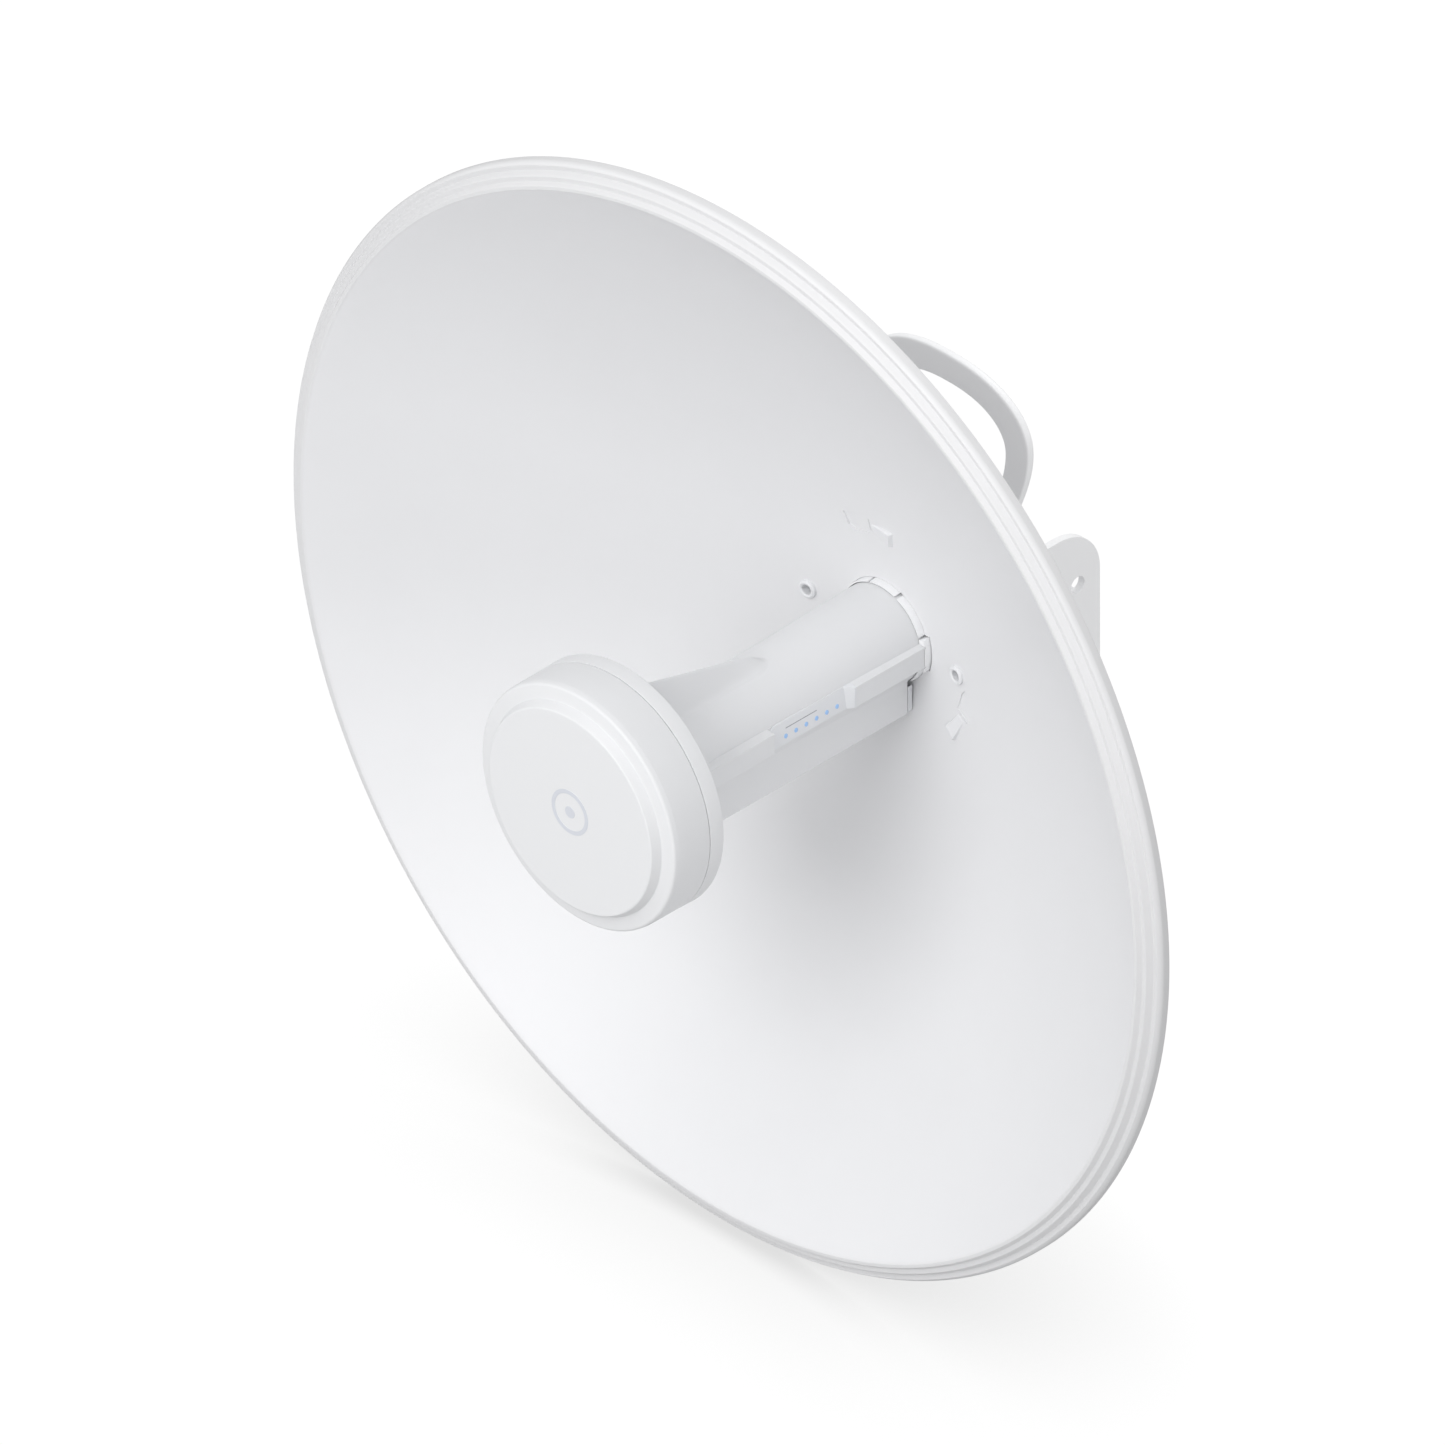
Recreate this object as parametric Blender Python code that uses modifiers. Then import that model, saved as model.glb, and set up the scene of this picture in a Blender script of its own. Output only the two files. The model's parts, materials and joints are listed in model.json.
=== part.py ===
"""Satellite dish: a point-to-point parabolic reflector with its radio in the feed.

Metres, +Z up.  The dish looks along -Y.  The origin is the centre of the flat
rear face of the pole bracket.  All sizes are in millimetres and all places are
measured from the dish axis: x to the right as seen from the front, y rearwards
from the middle of the rim skirt, z up.
"""
import math
import bpy
import bmesh
from mathutils import Matrix, Vector

# ---------------------------------------------------------------- shared dimensions
MM = 0.001
WELD = 1e-6             # metres; vertices closer than this are merged
FACE_Y = 154.6          # rear face of the pole bracket, behind the rim skirt
FACE_Z = -45.0          # its centre, below the dish axis
STEEL = 3.0             # thickness of both brackets
GAP = 0.3               # clearance between neighbouring pieces

HUB_R = 21.0            # hub opening in the reflector
TAB_ANGLES = (0, 90, 180)   # bayonet tabs and their notches round the hub
EYELET_X = 36.0
EYELET_AT = [(EYELET_X, 0), (-EYELET_X, 0)]
EYELET_HOLE_R = 2.85

ARM_X = 27.6            # outside of the side arms
ARM_TOP = 22.3
FLANGE_X = 24.3         # outside of the pole bracket flanges and the loop lugs
FLANGE_IN_X = FLANGE_X - STEEL
PIVOT = (118.0, -58.0)  # y, z
PIVOT_R = 4.0
LOCK_RADIUS = 27.0      # lock bolt, from the pivot
LOCK_ANGLE = 30.0
LOCK_R = 3.0
TILT = 20.0             # each way, in degrees
RIVET = (107.1, 13.0)   # y, z of the carry loop rivets
RIVET_HOLE_R = 2.3

HEAD_R = 47.0
HEAD_FRONT = -77.3
HEAD_SPLIT = -56.4      # between the head's cap and base
HEAD_REAR = -49.8
TUBE_END = 73.4
RAIL_Z = 3.7            # half height of the rails beside the tube
BOX_Z = -27.0           # underside of the box below the tube
BOARD_SCREW_Y = (-32, 58)
RESET_Y = 30


# ---------------------------------------------------------------- scene and materials
for old in list(bpy.data.objects):
    bpy.data.objects.remove(old, do_unlink=True)

scene = bpy.context.scene
parts = bpy.data.collections.new("satellite_dish")
cutters = bpy.data.collections.new("cutters")
scene.collection.children.link(parts)
scene.collection.children.link(cutters)


def new_material(name, colour, rough, metal=0.0):
    mat = bpy.data.materials.new(name)
    mat.use_nodes = True
    shader = mat.node_tree.nodes["Principled BSDF"]
    shader.inputs["Base Color"].default_value = (*colour, 1.0)
    shader.inputs["Roughness"].default_value = rough
    shader.inputs["Metallic"].default_value = metal
    mat.diffuse_color = (*colour, 1.0)
    return mat


BLACK = (0.03, 0.03, 0.035)
PAINTED = new_material("painted_steel", colour=(0.86, 0.865, 0.875), rough=0.42)
SHELL = new_material("white_plastic", colour=(0.84, 0.845, 0.855), rough=0.45)
GREY = new_material("grey_plastic", colour=(0.72, 0.73, 0.75), rough=0.5)
ZINC = new_material("zinc_steel", colour=(0.62, 0.63, 0.65), rough=0.32, metal=1.0)
BOARD = new_material("circuit_board", colour=(0.05, 0.22, 0.10), rough=0.45)
COPPER = new_material("copper", colour=(0.80, 0.50, 0.28), rough=0.35, metal=1.0)
RUBBER = new_material("black_rubber", colour=BLACK, rough=0.8)
BLACK_PLASTIC = new_material("black_plastic", colour=BLACK, rough=0.45)
CLEAR = new_material("light_pipe", colour=(0.35, 0.55, 1.0), rough=0.15)
TIN = new_material("tin_plate", colour=(0.75, 0.76, 0.77), rough=0.3, metal=1.0)


# ---------------------------------------------------------------- solids
# A solid made without a material is a helper, to be joined to or cut from a piece.
def place(x, y, z):
    """A point given from the dish axis in mm, as a point in the scene."""
    return Vector((x * MM, (y - FACE_Y) * MM, (z - FACE_Z) * MM))


def finish(obj, mat):
    """Give an object its collection, material and smooth shading."""
    for collection in list(obj.users_collection):
        collection.objects.unlink(obj)
    obj.data.materials.clear()
    if mat:
        parts.objects.link(obj)
        obj.data.materials.append(mat)
    else:
        cutters.objects.link(obj)
        obj.hide_render = True
        obj.display_type = 'WIRE'
    obj.data.shade_smooth()
    obj.data.set_sharp_from_angle(angle=math.radians(35))
    return obj


def as_mesh(obj):
    """Replace an object by its evaluated, welded mesh under the same name."""
    bpy.context.view_layer.update()
    depsgraph = bpy.context.evaluated_depsgraph_get()
    mesh = bpy.data.meshes.new_from_object(obj.evaluated_get(depsgraph))
    name = obj.name
    matrix = obj.matrix_world.copy()
    bpy.data.objects.remove(obj, do_unlink=True)
    bm = bmesh.new()
    bm.from_mesh(mesh)
    bmesh.ops.remove_doubles(bm, verts=bm.verts, dist=WELD)
    bmesh.ops.recalc_face_normals(bm, faces=bm.faces)
    bm.to_mesh(mesh)
    bm.free()
    return new_object(name, mesh, matrix)


def new_object(name, data, matrix=None):
    obj = bpy.data.objects.new(name, data)
    scene.collection.objects.link(obj)
    if matrix:
        obj.matrix_world = matrix
    return obj


def turned(name, profile, mat=None, steps=40, axis='Y', at=(0, 0, 0)):
    """A piece turned round an axis through at.

    profile is (radius, distance along the axis from at).  It closes on itself
    unless both its ends lie on the axis.
    """
    points = [(radius * MM, 0.0, -distance * MM) for radius, distance in profile]
    last = len(points) - 1
    edges = [(i, i + 1) for i in range(last)]
    if not (profile[0][0] == 0 and profile[-1][0] == 0):
        edges.append((last, 0))
    mesh = bpy.data.meshes.new(name)
    mesh.from_pydata(points, edges, [])
    obj = new_object(name, mesh)
    screw = obj.modifiers.new("turn", 'SCREW')
    screw.axis = 'Z'
    screw.steps = steps
    screw.render_steps = steps
    screw.use_merge_vertices = True
    screw.merge_threshold = 0.00001
    screw.use_smooth_shade = True
    # each rotation lays the mesh's -Z along the wanted axis
    obj.rotation_euler = {'X': (0, math.radians(-90), 0),
                          'Y': (math.radians(90), 0, 0),
                          'Z': (math.radians(180), 0, 0)}[axis]
    obj.location = place(*at)
    return finish(as_mesh(obj), mat)


def box(name, low, high, mat=None):
    """A box from its two corners."""
    low, high = place(*low), place(*high)
    bpy.ops.mesh.primitive_cube_add(size=1.0, location=(low + high) / 2)
    obj = bpy.context.active_object
    obj.name = name
    obj.data.name = name
    obj.data.transform(Matrix.Diagonal((*(high - low), 1.0)))
    return finish(obj, mat)


def rod(name, start, end, radius, mat=None, sides=20):
    """A straight round rod between two points."""
    start, end = place(*start), place(*end)
    bpy.ops.mesh.primitive_cylinder_add(vertices=sides, radius=radius * MM,
                                        depth=(end - start).length, location=(start + end) / 2)
    obj = bpy.context.active_object
    obj.name = name
    obj.data.name = name
    obj.rotation_euler = Vector((0, 0, 1)).rotation_difference(end - start).to_euler()
    return finish(obj, mat)


def rods_along_y(name, places, y_from, y_to, radius, sides=8):
    """Helper rods at each (x, z) of places."""
    return [rod(name, (x, y_from, z), (x, y_to, z), radius, sides=sides) for x, z in places]


def rods_along_z(name, ys, z_from, z_to, radius, sides):
    """Helper rods at x = 0 and each y of ys."""
    return [rod(name, (0, y, z_from), (0, y, z_to), radius, sides=sides) for y in ys]


def plate(name, loops, plane, start, end, mat=None):
    """A flat plate.  loops are closed outlines, the first one outside.

    Plane 'X' takes (y, z) outlines between x = start and end; plane 'Y' takes
    (x, z) outlines between y = start and end.
    """
    curve = bpy.data.curves.new(name, 'CURVE')
    curve.dimensions = '2D'
    curve.fill_mode = 'BOTH'
    curve.extrude = abs(end - start) * MM / 2
    for loop in loops:
        spline = curve.splines.new('POLY')
        spline.points.add(len(loop) - 1)
        for point, (across, up) in zip(spline.points, loop):
            point.co = (across * MM, up * MM, 0, 1)
        spline.use_cyclic_u = True
    obj = new_object(name, curve)
    middle = (start + end) / 2
    if plane == 'X':
        obj.rotation_euler = (math.radians(90), 0, math.radians(90))
        obj.location = place(middle, 0, 0)
    else:
        obj.rotation_euler = (math.radians(90), 0, 0)
        obj.location = place(0, middle, 0)
    return finish(as_mesh(obj), mat)


def wire(name, points, radius, mat):
    """A round wire through points."""
    curve = bpy.data.curves.new(name, 'CURVE')
    curve.dimensions = '3D'
    curve.bevel_depth = radius * MM
    curve.bevel_resolution = 2
    curve.use_fill_caps = True
    spline = curve.splines.new('POLY')
    spline.points.add(len(points) - 1)
    for point, position in zip(spline.points, points):
        point.co = (*place(*position), 1)
    return finish(as_mesh(new_object(name, curve)), mat)


def combine(target, others, operation):
    """Apply the helpers to target in turn, then remove them."""
    for other in others:
        boolean = target.modifiers.new(operation.lower(), 'BOOLEAN')
        boolean.operation = operation
        boolean.object = other
        boolean.solver = 'EXACT'
    mat = target.data.materials[0]
    result = as_mesh(target)
    for other in others:
        bpy.data.objects.remove(other, do_unlink=True)
    return finish(result, mat)


def join(target, *others):
    return combine(target, others, 'UNION')


def cut(target, *others):
    return combine(target, others, 'DIFFERENCE')


# ---------------------------------------------------------------- outlines
def on_circle(cx, cy, radius, degrees):
    angle = math.radians(degrees)
    return (cx + radius * math.cos(angle), cy + radius * math.sin(angle))


def arc(cx, cy, radius, start, end, steps=6):
    """Points along an arc, both ends included; angles in degrees."""
    return [on_circle(cx, cy, radius, start + (end - start) * i / steps)
            for i in range(steps + 1)]


def circle(cx, cy, radius, sides=20):
    return arc(cx, cy, radius, 0, 360, sides)[:-1]


def hexagon(cx, cy, across_flats):
    return circle(cx, cy, across_flats / math.sqrt(3), 6)


def arc_slot(cx, cy, radius, half, start, end):
    """A round-ended slot of half width half, along an arc round (cx, cy)."""
    start_end = arc(*on_circle(cx, cy, radius, start), half, start + 180, start + 360, 5)
    far_end = arc(*on_circle(cx, cy, radius, end), half, end, end + 180, 5)
    return (arc(cx, cy, radius + half, start, end) + far_end[1:-1]
            + arc(cx, cy, radius - half, end, start) + start_end[1:-1])


def upright_slot(cx, cy, half, length):
    """A round-ended vertical slot of half width half."""
    reach = length / 2 - half
    return arc(cx, cy + reach, half, 0, 180, 5) + arc(cx, cy - reach, half, 180, 360, 5)


# ---------------------------------------------------------------- reflector
BOWL_DEPTH = 76.6       # paraboloid apex, behind the rim skirt
BOWL_K = 0.00204        # paraboloid y = BOWL_DEPTH - BOWL_K r^2
BOWL_START_R = HUB_R - 1.6   # trimmed by the hub opening
LIP_R = 201.3           # sharp inner lip of the rim
BACK_EDGE_R = 199.6     # where the back of the bowl meets the rim
SHEET = 2.0             # sheet thickness along the axis
RIM_R = 210.0           # outside of the rim skirt
# (radius, y) from the lip forwards, out round the skirt and back in behind it
RIM = [(203.0, -5.6), (204.6, -4.4), (206.6, -2.7), (208.8, -1.9), (RIM_R, -0.4),
       (RIM_R, 2.7), (208.4, 2.7), (208.0, 0.2), (203.0, -2.6)]
NOTCH_R = 22.9          # bayonet notches in the hub's edge
NOTCH_HALF = 22.6       # degrees
LATCH_NOTCH_R = 25.2    # deeper notch for the release latch, at six o'clock
LATCH_NOTCH_HALF = 15.1
HUB_CUT_Y = (60, 90)    # reach of the cuts through the sheet


def bowl_curve(edge, steps, behind):
    """Points on the paraboloid from the hub to radius edge, moved rearwards."""
    radii = [BOWL_START_R + (edge - BOWL_START_R) * i / steps for i in range(steps + 1)]
    return [(r, BOWL_DEPTH - BOWL_K * r * r + behind) for r in radii]


def hub_opening():
    """The hub's edge with its bayonet and latch notches, every 5 degrees."""
    outline = []
    for degrees in range(0, 360, 5):
        off = min(abs((degrees - tab + 180) % 360 - 180) for tab in TAB_ANGLES)
        radius = NOTCH_R if off <= NOTCH_HALF else HUB_R
        if abs(degrees - 270) <= LATCH_NOTCH_HALF:
            radius = LATCH_NOTCH_R
        outline.append(on_circle(0, 0, radius, degrees))
    return outline


def build_reflector():
    profile = bowl_curve(LIP_R, 9, 0) + RIM + bowl_curve(BACK_EDGE_R, 7, SHEET)[::-1]
    cut(turned("dish_reflector", profile, PAINTED, steps=60),
        plate("hub_opening", [hub_opening()], 'Y', *HUB_CUT_Y),
        *rods_along_y("eyelet_hole", EYELET_AT, *HUB_CUT_Y, EYELET_HOLE_R, sides=20))


# ---------------------------------------------------------------- hub
# Profiles are (radius, y).
ADAPTER = [(39.5, 75.8), (42.0, 75.8), (42.0, 81.0), (24.0, 81.0), (24.0, 100.0),
           (21.5, 100.0), (21.5, 82.6), (19.3, 82.6), (19.3, 75.9), (20.65, 75.6),
           (20.65, 78.0), (39.5, 78.0)]
TAB_R = (19.95, 22.3)
TAB_Y = (73.6, 78.6)
TAB_HALF = 20           # degrees
REAR_CAP = [(0, 93.5), (18.0, 93.5), (18.0, 93.6), (20.9, 94.0), (20.9, 100.3),
            (24.0, 100.3), (24.0, 102.0), (23.0, 102.8), (0, 102.8)]
CAP_HOLLOW = [(0, 80), (19.0, 80), (19.0, 100.4), (0, 100.4)]
GROMMET_X = 4.7         # half width
GROMMET_Y = (90.4, 99.9)
HUB_EYELET = [(1.9, 72.7), (2.6, 72.4), (3.4, 72.8), (3.4, 73.25), (2.5, 73.25),
              (2.5, 84.65), (3.6, 84.65), (3.6, 85.2), (1.9, 85.6)]


def build_hub_adapter():
    """The collar behind the hub opening, with bayonet tabs at its front."""
    tabs = []
    for tab in TAB_ANGLES:
        outline = (arc(0, 0, TAB_R[1], tab - TAB_HALF, tab + TAB_HALF, 5)
                   + arc(0, 0, TAB_R[0], tab + TAB_HALF, tab - TAB_HALF, 5))
        tabs.append(plate("tab", [outline], 'Y', *TAB_Y))
    adapter = join(turned("hub_adapter", ADAPTER, SHELL), *tabs)
    cut(adapter,
        *rods_along_y("eyelet_hole", EYELET_AT, 70, 90, EYELET_HOLE_R, sides=20),
        box("cable_slot", (-5, 90, -30), (5, 101, -15)),
        box("latch_room", (-7, 74, -26), (7, 80.6, -15)))


def build_rear_cap():
    cut(turned("rear_cap", REAR_CAP, SHELL, 32),
        turned("cap_hollow", CAP_HOLLOW, steps=32),
        box("cap_slot", (-7.2, 80, -30), (7.2, 100.15, -13)))


def build_grommet():
    """The cable grommet in the slot of the adapter."""
    front, rear = GROMMET_Y
    grommet = join(box("cable_grommet", (-GROMMET_X, front, -24.2),
                       (GROMMET_X, rear, -21.2), RUBBER),
                   box("lip", (-6.4, front - 1, -26.2), (6.4, rear, -24.3)),
                   box("neck", (-GROMMET_X, front, -24.9), (GROMMET_X, rear, -23.0)))
    cut(grommet, rod("cable_hole", (0, 95.2, -30), (0, 95.2, -15), 3.2))


def build_hub_eyelets():
    for side, sign in (("left", -1), ("right", 1)):
        turned("hub_eyelet_" + side, HUB_EYELET, ZINC, 14, at=(sign * EYELET_X, 0, 0))


# ---------------------------------------------------------------- dish bracket
BASE_Y = 81.3
BASE_INSET = 0.2        # edges of the base stop this far inside the arms' edges
BASE_X = ARM_X - BASE_INSET
BASE_HOLE_R = 24.5
EAR_R = 7               # corners of the ears that carry the eyelets
EAR_Z = 4               # centres of those corners, above and below the axis
ARM_LOW = -80.0
ARM_REAR = 151.3
ARM_CORNER = 16.0
SPARE_HOLE = (140.6, 0.0, 3.3)   # y, z, radius


def build_dish_bracket():
    """A base plate behind the adapter with an arm running rearwards at each side."""
    ear_top = EAR_Z + EAR_R
    top, low = ARM_TOP - BASE_INSET, ARM_LOW + BASE_INSET
    base = ([(-BASE_X, top), (-BASE_X, ear_top)]
            + arc(-EYELET_X, EAR_Z, EAR_R, 90, 180, 4)
            + arc(-EYELET_X, -EAR_Z, EAR_R, 180, 270, 4)
            + [(-BASE_X, -ear_top), (-BASE_X, low), (BASE_X, low), (BASE_X, -ear_top)]
            + arc(EYELET_X, -EAR_Z, EAR_R, 270, 360, 4)
            + arc(EYELET_X, EAR_Z, EAR_R, 0, 90, 4)
            + [(BASE_X, ear_top), (BASE_X, top)])
    holes = [circle(0, 0, BASE_HOLE_R, 32)]
    holes += [circle(x, z, EYELET_HOLE_R, 12) for x, z in EYELET_AT]
    bracket = plate("dish_bracket", [base] + holes, 'Y', BASE_Y, BASE_Y + STEEL, PAINTED)

    arm_front = BASE_Y + 0.4
    corner_y = ARM_REAR - ARM_CORNER
    arm = ([(arm_front, ARM_LOW)]
           + arc(corner_y, ARM_LOW + ARM_CORNER, ARM_CORNER, 270, 360)
           + arc(corner_y, ARM_TOP - ARM_CORNER, ARM_CORNER, 0, 90)
           + [(arm_front, ARM_TOP)])
    arm_holes = [circle(*SPARE_HOLE),
                 circle(*PIVOT, PIVOT_R + GAP),
                 arc_slot(*PIVOT, LOCK_RADIUS, LOCK_R + 0.4,
                          LOCK_ANGLE - TILT - 1, LOCK_ANGLE + TILT + 1),
                 circle(*RIVET, RIVET_HOLE_R, 12)]
    for sign in (-1, 1):
        bracket = join(bracket, plate("arm", [arm] + arm_holes, 'X',
                                      sign * (ARM_X - STEEL), sign * ARM_X))


# ---------------------------------------------------------------- carry loop
LOOP_Y = (105.3, 108.9)
LOOP_LOW = ARM_TOP + GAP
LOOP_BEVEL = 0.9
LUG = [(103.4, 3.5), (110.8, 3.5), (110.8, 27.0), (103.4, 27.0)]   # y, z
# (radius, distance from the middle plane)
LOOP_RIVET = [(0, 19.4), (3.0, 19.4), (3.4, 20.0), (3.4, 21.0), (2.0, 21.0),
              (2.0, 27.9), (4.0, 27.9), (4.0, 28.6), (2.6, 29.6), (0, 29.6)]


def loop_half(top, wide, wide_z, foot, foot_z, top_steps=8, leg_steps=5):
    """Right half of an arch: a superelliptic top and legs that draw inwards.

    wide and foot are half widths, at the heights wide_z and foot_z.
    """
    points = []
    for i in range(top_steps + 1):
        angle = math.pi / 2 * (1 - i / top_steps)
        points.append((wide * math.cos(angle) ** 0.86,
                       wide_z + (top - wide_z) * math.sin(angle) ** 0.92))
    for i in range(1, leg_steps + 1):
        down = i / leg_steps
        ease = down * down * (3 - 2 * down) * 0.55 + down * down * 0.45
        points.append((wide + (foot - wide) * ease, wide_z + (foot_z - wide_z) * down))
    points.append((foot, LOOP_LOW))
    return points


def mirrored(points):
    return [(-x, z) for x, z in points]


def build_carry_loop():
    """The arch between the arms, with a lug inside each arm."""
    outer = loop_half(top=97.3, wide=38.2, wide_z=76.0, foot=27.6, foot_z=36.0)
    inner = loop_half(top=88.0, wide=27.3, wide_z=72.0, foot=17.6, foot_z=38.0)
    outline = outer + inner[::-1] + mirrored(inner[1:]) + mirrored(outer[:0:-1])
    loop = plate("carry_loop", [outline], 'Y', *LOOP_Y, SHELL)
    bevel = loop.modifiers.new("edges", 'BEVEL')
    bevel.width = LOOP_BEVEL * MM
    bevel.segments = 1
    bevel.limit_method = 'ANGLE'
    bevel.angle_limit = math.radians(60)
    loop = finish(as_mesh(loop), SHELL)
    for sign in (-1, 1):
        loop = join(loop, plate("lug", [LUG], 'X', sign * FLANGE_IN_X, sign * FLANGE_X))
    cut(loop, rod("rivet_hole", (-40, *RIVET), (40, *RIVET), RIVET_HOLE_R, sides=16))


def build_loop_rivets():
    """The rivet named left lies on the +X side, the one named right on the -X side."""
    for side in ("left", "right"):
        rivet = turned("loop_rivet_" + side, LOOP_RIVET, ZINC, 12, axis='X', at=(0, *RIVET))
    # the last one made is turned round to face -X
    rivet.data.transform(Matrix.Rotation(math.pi, 4, 'X'))


# ---------------------------------------------------------------- feed head
# Profiles are (radius, y).
HEAD_CAP = [(0, HEAD_FRONT), (38.9, HEAD_FRONT), (39.9, HEAD_FRONT + 0.7), (41.0, -73.6),
            (45.4, -73.4), (46.7, -72.4), (HEAD_R, -70.8), (HEAD_R, HEAD_SPLIT - GAP / 2),
            (44.8, HEAD_SPLIT - GAP / 2), (44.6, -70.6), (44.0, -71.2), (38.6, -71.4),
            (37.6, -75.0), (0, -75.0)]
HEAD_BASE = [(42.6, -59.2), (44.4, -59.2), (44.4, HEAD_SPLIT + GAP / 2),
             (HEAD_R + 0.1, HEAD_SPLIT + GAP / 2), (47.2, HEAD_REAR - 0.5),
             (46.8, HEAD_REAR), (12.6, HEAD_REAR), (12.6, -52.3), (42.6, -52.3)]
HEAD_SEAL = [(42.9, -60.9), (44.2, -60.9), (44.2, -59.5), (42.9, -59.5)]
ANTENNA_BOARD = [(0, -62.6), (38.0, -62.6), (38.0, -60.9), (0, -60.9)]
SPLASH_PLATE = [(0, -69.0), (36.0, -69.0), (36.0, -68.2), (0, -68.2)]
ANTENNA_SPACER = [(1.7, -67.9), (3.0, -67.9), (3.0, -62.9), (1.7, -62.9)]
ANTENNA_SCREW = [(0, -70.6), (2.4, -70.6), (2.6, -70.2), (2.6, -69.3), (1.2, -69.3),
                 (1.2, -55.5), (0, -55.5)]
HEAD_SCREW = [(0, -54.4), (2.5, -54.4), (2.8, -54.0), (2.8, -52.6), (1.4, -52.6),
              (1.4, -44.2), (0, -44.2)]
# (x, z) of the antenna screws, of the head screws and of the coax wires
POST_AT = [on_circle(0, 0, 30, degrees) for degrees in (90, 210, 330)]
HEAD_SCREW_AT = [on_circle(0, 0, 21, degrees) for degrees in (40, 140, 230, 310)]
COAX_AT = [(-5, -3), (5, -3)]
POST_HOLE_R = 1.6
COAX_HOLE_R = 1.3
PATCH_HALF = 15


def build_head_shell():
    turned("feed_head_cap", HEAD_CAP, SHELL, 44)
    base = join(turned("feed_head_base", HEAD_BASE, SHELL, 44),
                *rods_along_y("boss", POST_AT, -60.6, -51.5, 3.2, sides=10))
    cut(base, *rods_along_y("boss_hole", POST_AT, -62, -54, 1.5),
        *rods_along_y("screw_hole", HEAD_SCREW_AT, -54, -48, 1.8))
    turned("head_seal", HEAD_SEAL, RUBBER, 36)


def build_antenna():
    """From front to rear: splash plate, circuit board and square patch."""
    cut(turned("antenna_board", ANTENNA_BOARD, BOARD, 32),
        *rods_along_y("post_hole", POST_AT, -64, -60, POST_HOLE_R),
        *rods_along_y("wire_hole", COAX_AT, -64, -60, COAX_HOLE_R))
    cut(turned("splash_plate", SPLASH_PLATE, TIN, 32),
        *rods_along_y("post_hole", POST_AT, -70, -67, POST_HOLE_R))
    cut(box("patch_radiator", (-PATCH_HALF, -58.4, -PATCH_HALF),
            (PATCH_HALF, -57.8, PATCH_HALF), COPPER),
        *rods_along_y("wire_hole", COAX_AT, -60, -56, COAX_HOLE_R))
    rod("patch_post", (0, -60.6, 0), (0, -58.7, 0), 2.2, TIN, sides=16)


def build_head_fasteners():
    for i, (x, z) in enumerate(POST_AT, 1):
        turned(f"antenna_spacer_{i}", ANTENNA_SPACER, TIN, 10, at=(x, 0, z))
        turned(f"antenna_screw_{i}", ANTENNA_SCREW, ZINC, 10, at=(x, 0, z))
    for i, (x, z) in enumerate(HEAD_SCREW_AT, 1):
        turned(f"head_screw_{i}", HEAD_SCREW, ZINC, 10, at=(x, 0, z))


# ---------------------------------------------------------------- feed tube
TUBE_R = 17.6           # in front of the taper
TAPER_START, TAPER_LENGTH, TAPER_RISE = 15, 58.0, 1.2
FLARE_START, FLARE_LENGTH, FLARE_RISE = -22.0, 27.6, 17.0
TUBE_FRONT = -49.5
# y of the sections along the tube, closer together in the flare
TUBE_STATIONS = [TUBE_FRONT, -48.6, -47.2, -45, -42, -38, -33, -28, FLARE_START,
                 TAPER_START, 45, TUBE_END]
TUBE_HOLLOW = [(0, -60), (12.8, -60), (12.8, -42), (14.9, -39), (14.9, 90), (0, 90)]
TUBE_SCREW_HOLE = (-51, -43.6, 1.7)   # y from, y to, radius
# side view (y, z) of the fin on top of the tube
GUSSET = [(-49.3, 5.0), (15.5, 5.0), (15.5, 17.2), (14.0, 19.6), (11.0, 21.2),
          (6.0, 22.8), (-1.8, 25.2), (-20.0, 29.9), (-38.6, 35.0), (-49.3, 38.1)]
GUSSET_HALF = 3.8
RAIL_X = 20.6
BOX_X = 13.8
BOX_REAR = 72.1
BOX_WALL = 2.4

WINDOW_Y = (0.9, 40.0)
# (x, z) section of the window, its face leaning inwards towards the top
WINDOW = [(18.2, -RAIL_Z), (20.0, -RAIL_Z), (19.8, -2.6), (18.6, 3.4), (18.2, 3.6)]
LED_Y = [8.2 + 4.95 * i for i in range(6)]
LED_Z = -1.0

TAIL_R = 18.6
TAIL_END = 98.0
TAIL = [(12.9, 66.0), (14.6, 66.0), (14.6, 73.7), (TAIL_R, 73.7), (TAIL_R, TAIL_END - 0.8),
        (TAIL_R - 0.8, TAIL_END), (6.0, TAIL_END), (6.0, TAIL_END - 2.2),
        (16.2, TAIL_END - 2.2), (16.2, 76.0), (12.9, 76.0)]


def tube_radius(y):
    """Outside radius of the tube: flared into the head, widening to the rear."""
    radius = TUBE_R + TAPER_RISE * max(0.0, min(1.0, (y - TAPER_START) / TAPER_LENGTH))
    if y < FLARE_START:
        along = min(1.0, (FLARE_START - y) / FLARE_LENGTH)
        radius += FLARE_RISE * (1 - math.sqrt(max(0.0, 1 - along * along)))
    return radius


def tube_solid(name):
    skin = [(tube_radius(y), y) for y in TUBE_STATIONS]
    return turned(name, [(0, TUBE_FRONT)] + skin + [(0, TUBE_END)], SHELL)


def tube_hollow():
    return turned("hollow", TUBE_HOLLOW, steps=32)


def tube_screw_holes(places):
    return rods_along_y("screw_hole", places, *TUBE_SCREW_HOLE)


def build_upper_tube():
    upper = join(tube_solid("feed_tube_upper"),
                 plate("gusset", [GUSSET], 'X', -GUSSET_HALF, GUSSET_HALF))
    cut(upper, tube_hollow(),
        box("below_seam", (-60, -70, -60), (60, 90, RAIL_Z + GAP)),
        *tube_screw_holes(HEAD_SCREW_AT[:2]))


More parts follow.
